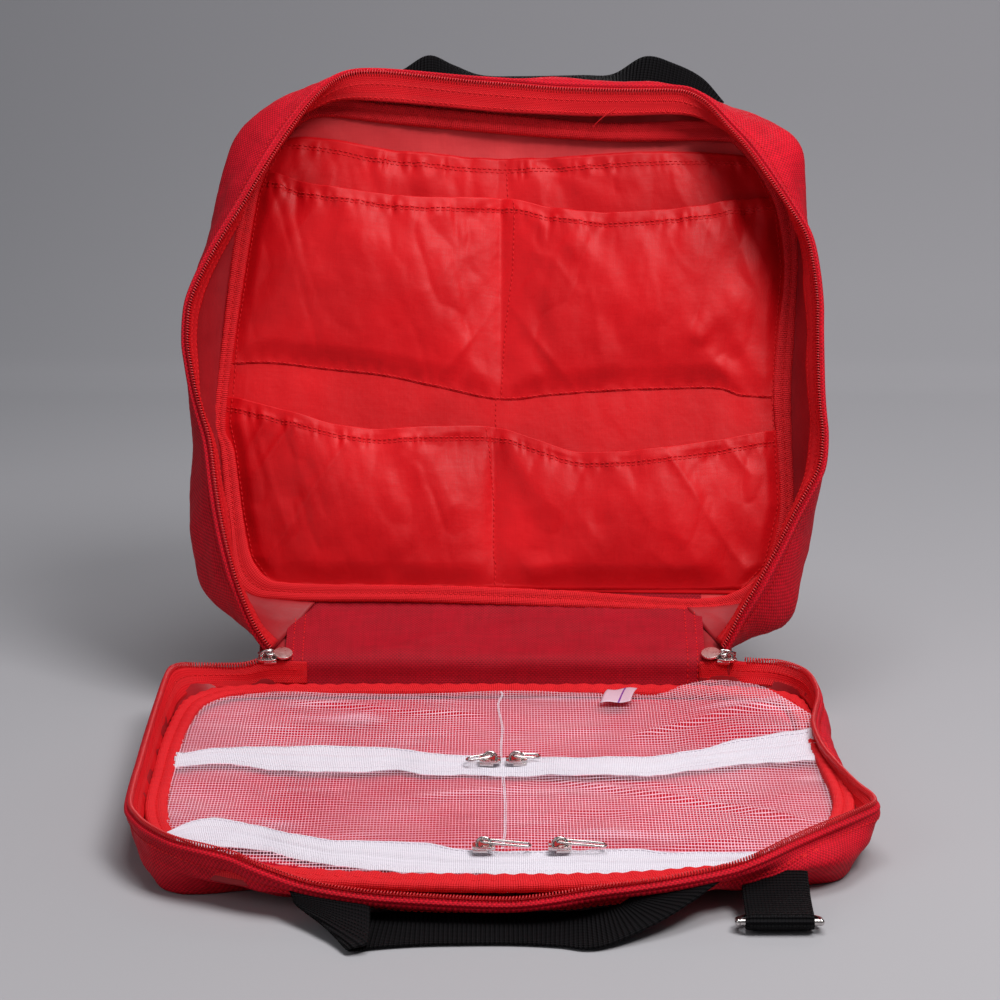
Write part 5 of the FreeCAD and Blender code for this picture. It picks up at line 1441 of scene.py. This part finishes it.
SE, SU, SW = np.array([1.0, 0, 0]), np.array([0, C18, S18]), np.array([0, -S18, C18])
for side, d in (("left", 1), ("right", -1)):
    x = -125.0 if d > 0 else 118.5
    at_ = strip(np.array([x, 1.6, 0.4]))
    slider_piece(f"main_slider_{side}_body", f"main_slider_{side}", f"main_slider_{side}" if f"main_slider_{side}" in frame["bodies"] else "hinge_strip", at_, -d, SE, SU, SW)
    # pull: an eye on the bridge, a short neck and a round disc lying towards the middle of the bag
    pv = strip(np.array([x + d * 1.4, 2.2, 3.5]))
    c, s_ = math.cos(math.radians(4)), math.sin(math.radians(4))
    e1 = SE * d * c - SW * s_
    e3 = np.cross(e1, SU)
    e3 = e3 if e3 @ SW > 0 else -e3
    eye_o = [(2.1 * math.cos(a), 2.1 * math.sin(a)) for a in np.linspace(0, 2 * math.pi, 22, endpoint=False)]
    neck = round_poly([(1.2, -1.5), (4.0, -2.2), (4.0, 2.2), (1.2, 1.5)], 0.3)
    R_ = 5.0
    disc_o = [(7.0 + R_ * math.cos(a), R_ * math.sin(a)) for a in np.linspace(0, 2 * math.pi, 40, endpoint=False)]
    o = bevelled(f"main_pull_{side}_tab", [(neck, -0.5, 0.5), (disc_o, -0.6, 0.6)], M["pull"], (pv, e1, SU, e3), bevel=0.25)
    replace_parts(o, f"main_pull_{side}")
    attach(o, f"main_pull_{side}")
    a = np.linspace(0, 2 * math.pi, 40, endpoint=False)
    ringp = pv + np.outer(2.0 * np.cos(a) + 0.2, e1) + np.outer(2.3 * np.sin(a), SU)
    v, f = tube_mesh(ringp, 0.75, 8, up=np.tile(e3, (40, 1)), closed=True)
    o = new_mesh(f"main_pull_{side}_eye", v, f, M["nickel"], uv=np.zeros((len(v), 2)))
    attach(o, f"main_pull_{side}")

for node in ("d_ring",):
    NODES[node].data.materials.clear()
    NODES[node].data.materials.append(M["nickel"])
    NODES[node].data.polygons.foreach_set("use_smooth", np.ones(len(NODES[node].data.polygons), bool))


# ================================================================== webbing
def web(name, g, mat=None, thick=1.7, edge=0.35):
    """Webbing on the grid g: full in the middle with rounded selvedges."""
    m = g.shape[1]
    t = np.linspace(-1, 1, m)
    prof = thick / 2 * np.sqrt(np.clip(1 - np.abs(t) ** 10, 0.03, 1))
    n = g.shape[0]
    hi = np.repeat(prof[None, :], n, 0)
    ribs = 0.0
    return shell(name, g, -hi, hi, mat or M["webbing"])


# front handle: left leg folds over itself onto the ground, the grip runs across and curls up under the right side
A = [(-97, -154.5, 13.6), (-96, -157.5, 12.6), (-95.2, -159.2, 11.8), (-95, -160.2, 11.0), (-94.6, -160.2, 10.0), (-93, -159.4, 9.0), (-84, -156.6, 5.4), (-70, -152.5, 2.6), (-55, -149, 1.5), (-38, -148.2, 1.3), (-15, -149.2, 1.3), (7, -149.4, 1.3), (26, -149.4, 1.6), (38, -150.5, 3.0), (48, -155.0, 6.6), (56, -158, 11.0), (62, -158.4, 15.0)]
Bp = [(-61, -159.5, 10.8), (-60.2, -163, 9.6), (-59.8, -172, 7.2), (-59.6, -187, 5.0), (-60.6, -197, 4.1), (-66, -200, 3.5), (-69, -200.2, 2.6), (-66, -199, 1.7), (-58, -194, 1.4), (-38, -190, 1.3), (-15, -188.6, 1.3), (7, -188.8, 1.3), (25, -191.4, 1.3), (38, -195.5, 1.6), (52, -190, 3.4), (76, -173, 9.4), (98, -151.2, 16.8)]
fh = ribbon(A, Bp, 190, 17)
o = web("front_handle_webbing", fh)
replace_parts(o, "front_handle", "front_handle_ends")
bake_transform(o)
front_web = o

# back handle, as (x, y, z): it stands up in two humps behind the top edge with the grip lying back between them
A = [(-92, 318, 300), (-78, 326, 304), (-60, 331, 305), (-42, 335, 307), (-27, 338, 307), (-10, 341, 309.5), (10, 342, 310.8), (44, 342, 311.6), (62, 340, 311), (76, 336, 308), (92, 332, 306), (106, 327, 303), (116, 320, 299)]
Bp = [(-100, 338, 302), (-76, 345, 311), (-57, 350, 319), (-42, 353, 327), (-28, 358, 321), (-12, 364, 314.2), (10, 366, 313.2), (44, 366, 313.8), (62, 362, 315), (80, 356, 326), (96, 350, 323), (112, 344, 315.5), (124, 335, 303)]
bh = ribbon(A, Bp, 190, 17)
o = web("back_handle_webbing", bh)
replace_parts(o, "back_handle", "back_handle_ends")
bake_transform(o)
back_web = o

# D-ring tab: webbing doubled round the ring's bar
xs = np.linspace(108.6, 139.4, 17)
prof = even(dense([(-132, 15.0), (-142, 11.8), (-152, 9.6), (-164, 8.55), (-171.5, 8.35), (-174.4, 7.3), (-175.5, 5.2), (-174.4, 3.1), (-171.6, 2.05), (-165.5, 1.75)]), n=60)
g = np.zeros((60, 17, 3))
g[..., 0] = xs[None, :]
g[..., 1] = prof[:, :1]
g[..., 2] = prof[:, 1:2]
o = web("d_ring_tab_webbing", g, thick=1.5)
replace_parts(o, "d_ring_tab")
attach(o, "front_half")
d_tab = o


# ------------------------------------------------------------------ shoulder harness on the outer face
def pad_shape(name, node, left, right, thick, g0, mat, body="back_half", n=60, crown=1.6, m=21):
    """A padded strap between two edge curves given as (x, s), with rolled edges, drawn on the back panel's outer face."""
    L, R = dense([(x, s, 0) for x, s in left]), dense([(x, s, 0) for x, s in right])
    L, R = even(L, n=n), even(R, n=n)
    t = np.linspace(0, 1, m)
    g = L[:, None, :] * (1 - t)[None, :, None] + R[:, None, :] * t[None, :, None]
    e = np.clip(1 - np.abs(2 * t - 1) ** 6, 0, 1) ** 0.5
    le = np.linspace(0, 1, n)
    en = np.clip(1 - np.abs(2 * le - 1) ** 16, 0, 1) ** 0.5
    full_ = e[None, :] * en[:, None]
    lo_ = g.copy()
    hi_ = g.copy()
    lo_[..., 2] = g0 - 0.1
    hi_[..., 2] = g0 - 0.8 - (thick - 0.8) * full_ + 0.25 * fbm(g[..., 0] / 9, g[..., 1] / 9, 91) * full_
    verts_ = np.vstack([back(lo_).reshape(-1, 3), back(hi_).reshape(-1, 3)])
    k = n * m
    idx = np.arange(k).reshape(n, m)
    fs = [quads(n, m, flip=False), quads(n, m, base=k, flip=True)]
    for e_2, fl in ((idx[:, 0], True), (idx[:, -1], False), (idx[0, :], False), (idx[-1, :], True)):
        q = np.stack([e_2[:-1], e_2[1:], e_2[1:] + k, e_2[:-1] + k], 1)
        fs.append(q[:, ::-1] if fl else q)
    uvs = np.vstack([plan_uv(g).reshape(-1, 2)] * 2)
    ob = new_mesh(name, verts_, np.vstack(fs), mat, uvs, weld=True)
    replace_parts(ob, node)
    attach(ob, body)
    return ob, hi_


harness_rows = []
yoke, gy = pad_shape("harness_yoke_pad", "harness_yoke", [(-74, 263), (-40, 262.8), (0, 262.8), (40, 262.8), (74, 263)], [(-72, 289), (-40, 290), (0, 290), (40, 290), (72, 289)], 6.0, -8.0, M["padding"], n=50)
for side, d in (("left", -1), ("right", 1)):
    lft = [(d * 30.5, 262), (d * 30, 230), (d * 28, 200), (d * 32, 165), (d * 37, 140), (d * 48, 118), (d * 60, 97)]
    rgt = [(d * 71, 262), (d * 76, 230), (d * 79.5, 200), (d * 84.5, 165), (d * 87.5, 140), (d * 89, 118), (d * 89, 97)]
    if d < 0:
        lft, rgt = rgt, lft
    sp, gs = pad_shape(f"shoulder_strap_{side}_pad", f"shoulder_strap_{side}", lft, rgt, 6.3, -8.0, M["padding"], n=90)
    harness_rows.append(gs)
    g = ribbon([(d * (75 - 12.5), 96, -8.8), (d * (96 - 12.5), 60, -8.8), (d * (114 - 12.5), 26, -8.8)], [(d * (75 + 12.5), 96, -8.8), (d * (96 + 12.5), 60, -8.8), (d * (114 + 12.5), 26, -8.8)], 40, 11)
    o = web(f"lower_strap_{side}_webbing", back(g), thick=1.6)
    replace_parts(o, f"lower_strap_{side}")
    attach(o, "back_half")
an = []
for d in (-1, 1):
    g = ribbon([(d * 94, 8, -8.6), (d * 97, 16, -8.6), (d * 100, 26, -8.6)], [(d * 132, 8, -8.6), (d * 129, 16, -8.6), (d * 126, 26, -8.6)], 16, 15)
    an.append(back(g))
vv, ff = [], []
o1 = shell("lower_strap_anchor_left", an[0], -1.1, 1.1, M["outer"])
o2 = shell("lower_strap_anchor_right", an[1], -1.1, 1.1, M["outer"])
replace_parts(o1, "lower_strap_anchors")
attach(o1, "back_half")
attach(o2, "back_half")
rows = []
for gs in harness_rows:
    W_ = back(gs)
    nn = normals(W_)
    if (nn.mean((0, 1)) @ (back(np.array([0, 0, -1.0])) - back(np.zeros(3)))) < 0:
        nn = -nn
    b_ = np.arange(2, gs.shape[0] - 2) * 1.0
    for col in (2.2, gs.shape[1] - 3.2):
        rows.append(row_on(W_, b_, np.full(len(b_), col), nn, 1.0, 0.15))
o = stitches("harness_stitching", rows, M["padding"])
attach(o, "back_half")
for node in ("ladder_lock_left", "ladder_lock_right"):
    NODES[node].data.materials.clear()
    NODES[node].data.materials.append(M["acetal"])

# loose thread end at the top tape
th = back(np.array([(64.0, 279.0, 17.5), (61, 276, 18.5), (56, 272, 19.5), (52, 268.5, 19.0), (50, 266.5, 18.0)]))
o = tubes("loose_thread", [even(dense(th), n=30)], 0.22, M["thread"], 6)
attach(o, "back_half")

# ================================================================== stage
# The floor and backdrop colour paints the fall of the light. It is painted shade darker to the left, away from the key
# light, and darker towards the back. It is painted lighter from 0.25 m up.
floor_m = Mat("studio_floor_painted_shade", 0.75)
pos = floor_m.new("ShaderNodeSeparateXYZ")
floor_m.link(floor_m.place(), pos.inputs[0])
painted_shade_y = floor_m.range(pos.outputs[1], -0.35, 0.95, 0.0, 1.0)
painted_shade_x = floor_m.range(pos.outputs[0], -0.6, 0.6, 0.0, 1.0)
painted_light_z = floor_m.range(pos.outputs[2], 0.25, 0.9, 0.0, 1.0)
cl = floor_m.mix(painted_shade_x, srgb(134, 134, 139), srgb(164, 162, 167))
cl = floor_m.mix(painted_light_z, cl, srgb(168, 169, 174))
cl = floor_m.mix(painted_shade_y, srgb(166, 164, 168), cl)
floor_m.colour(cl)
prof_y = [-2.8, 0.6, 1.0, 1.25, 1.42, 1.50, 1.515]
prof_z = [0.0, 0.0, 0.005, 0.04, 0.12, 0.217, 0.24]
pf = even(dense([(0, y, z) for y, z in zip(prof_y, prof_z)]), n=90)
xs = np.linspace(-4.0, 4.0, 20)
fg = np.zeros((20, 90, 3))
fg[..., 0] = xs[:, None]
fg[..., 1] = pf[None, :, 1]
fg[..., 2] = np.maximum(pf[None, :, 2], 0) - 0.0002
me = new_mesh("studio_floor_painted_shade", fg.reshape(-1, 3) * 1000, quads(20, 90, flip=False), floor_m.m, uv=fg[..., :2].reshape(-1, 2))


def area(name, loc, target, size, power, colour=(1, 1, 1), size_y=None):
    l = bpy.data.lights.new(name, "AREA")
    l.shape = "RECTANGLE"
    l.size, l.size_y = size, size_y or size
    l.energy = power
    l.color = colour
    o = bpy.data.objects.new(name, l)
    bpy.context.scene.collection.objects.link(o)
    o.location = loc
    o.rotation_euler = (Vector(target) - Vector(loc)).to_track_quat("-Z", "Y").to_euler()
    return o


area("key_light", (0.8, -0.62, 1.7), (0.02, 0.1, 0.1), 0.75, 27.0, (1.0, 0.99, 0.98))
area("fill_light", (-1.2, -1.1, 0.9), (0, 0.1, 0.1), 1.0, 4.0, (0.97, 0.98, 1.0))
area("top_light", (0.1, 0.12, 1.8), (0, 0.12, 0), 0.9, 15.0)
area("back_light", (0.3, 2.3, 1.3), (0, 0.3, 0.15), 0.9, 7.0)
world = bpy.data.worlds.new("studio_world")
bpy.context.scene.world = world
world.use_nodes = True
bg = next(n for n in world.node_tree.nodes if n.type == "BACKGROUND")
bg.inputs[0].default_value = (0.86, 0.88, 0.92, 1)
bg.inputs[1].default_value = 0.13
bpy.context.scene.view_settings.view_transform = "Standard"

e_cam = math.radians(14.1)
T_cam = Vector((-0.0016, 0.089, 0.135))
cam_d = bpy.data.cameras.new("camera")
cam_d.lens = 135.07
cam_d.sensor_width = 36.0
cam_d.clip_end = 20.0
cam = bpy.data.objects.new("camera", cam_d)
bpy.context.scene.collection.objects.link(cam)
cam.location = T_cam - 1.905 * Vector((0, math.cos(e_cam), -math.sin(e_cam)))
cam.rotation_euler = Vector((0, math.cos(e_cam), -math.sin(e_cam))).to_track_quat("-Z", "Y").to_euler()
bpy.context.scene.camera = cam

for k, a in sorted(AREAS.items()):
    print("AREA", k, a)
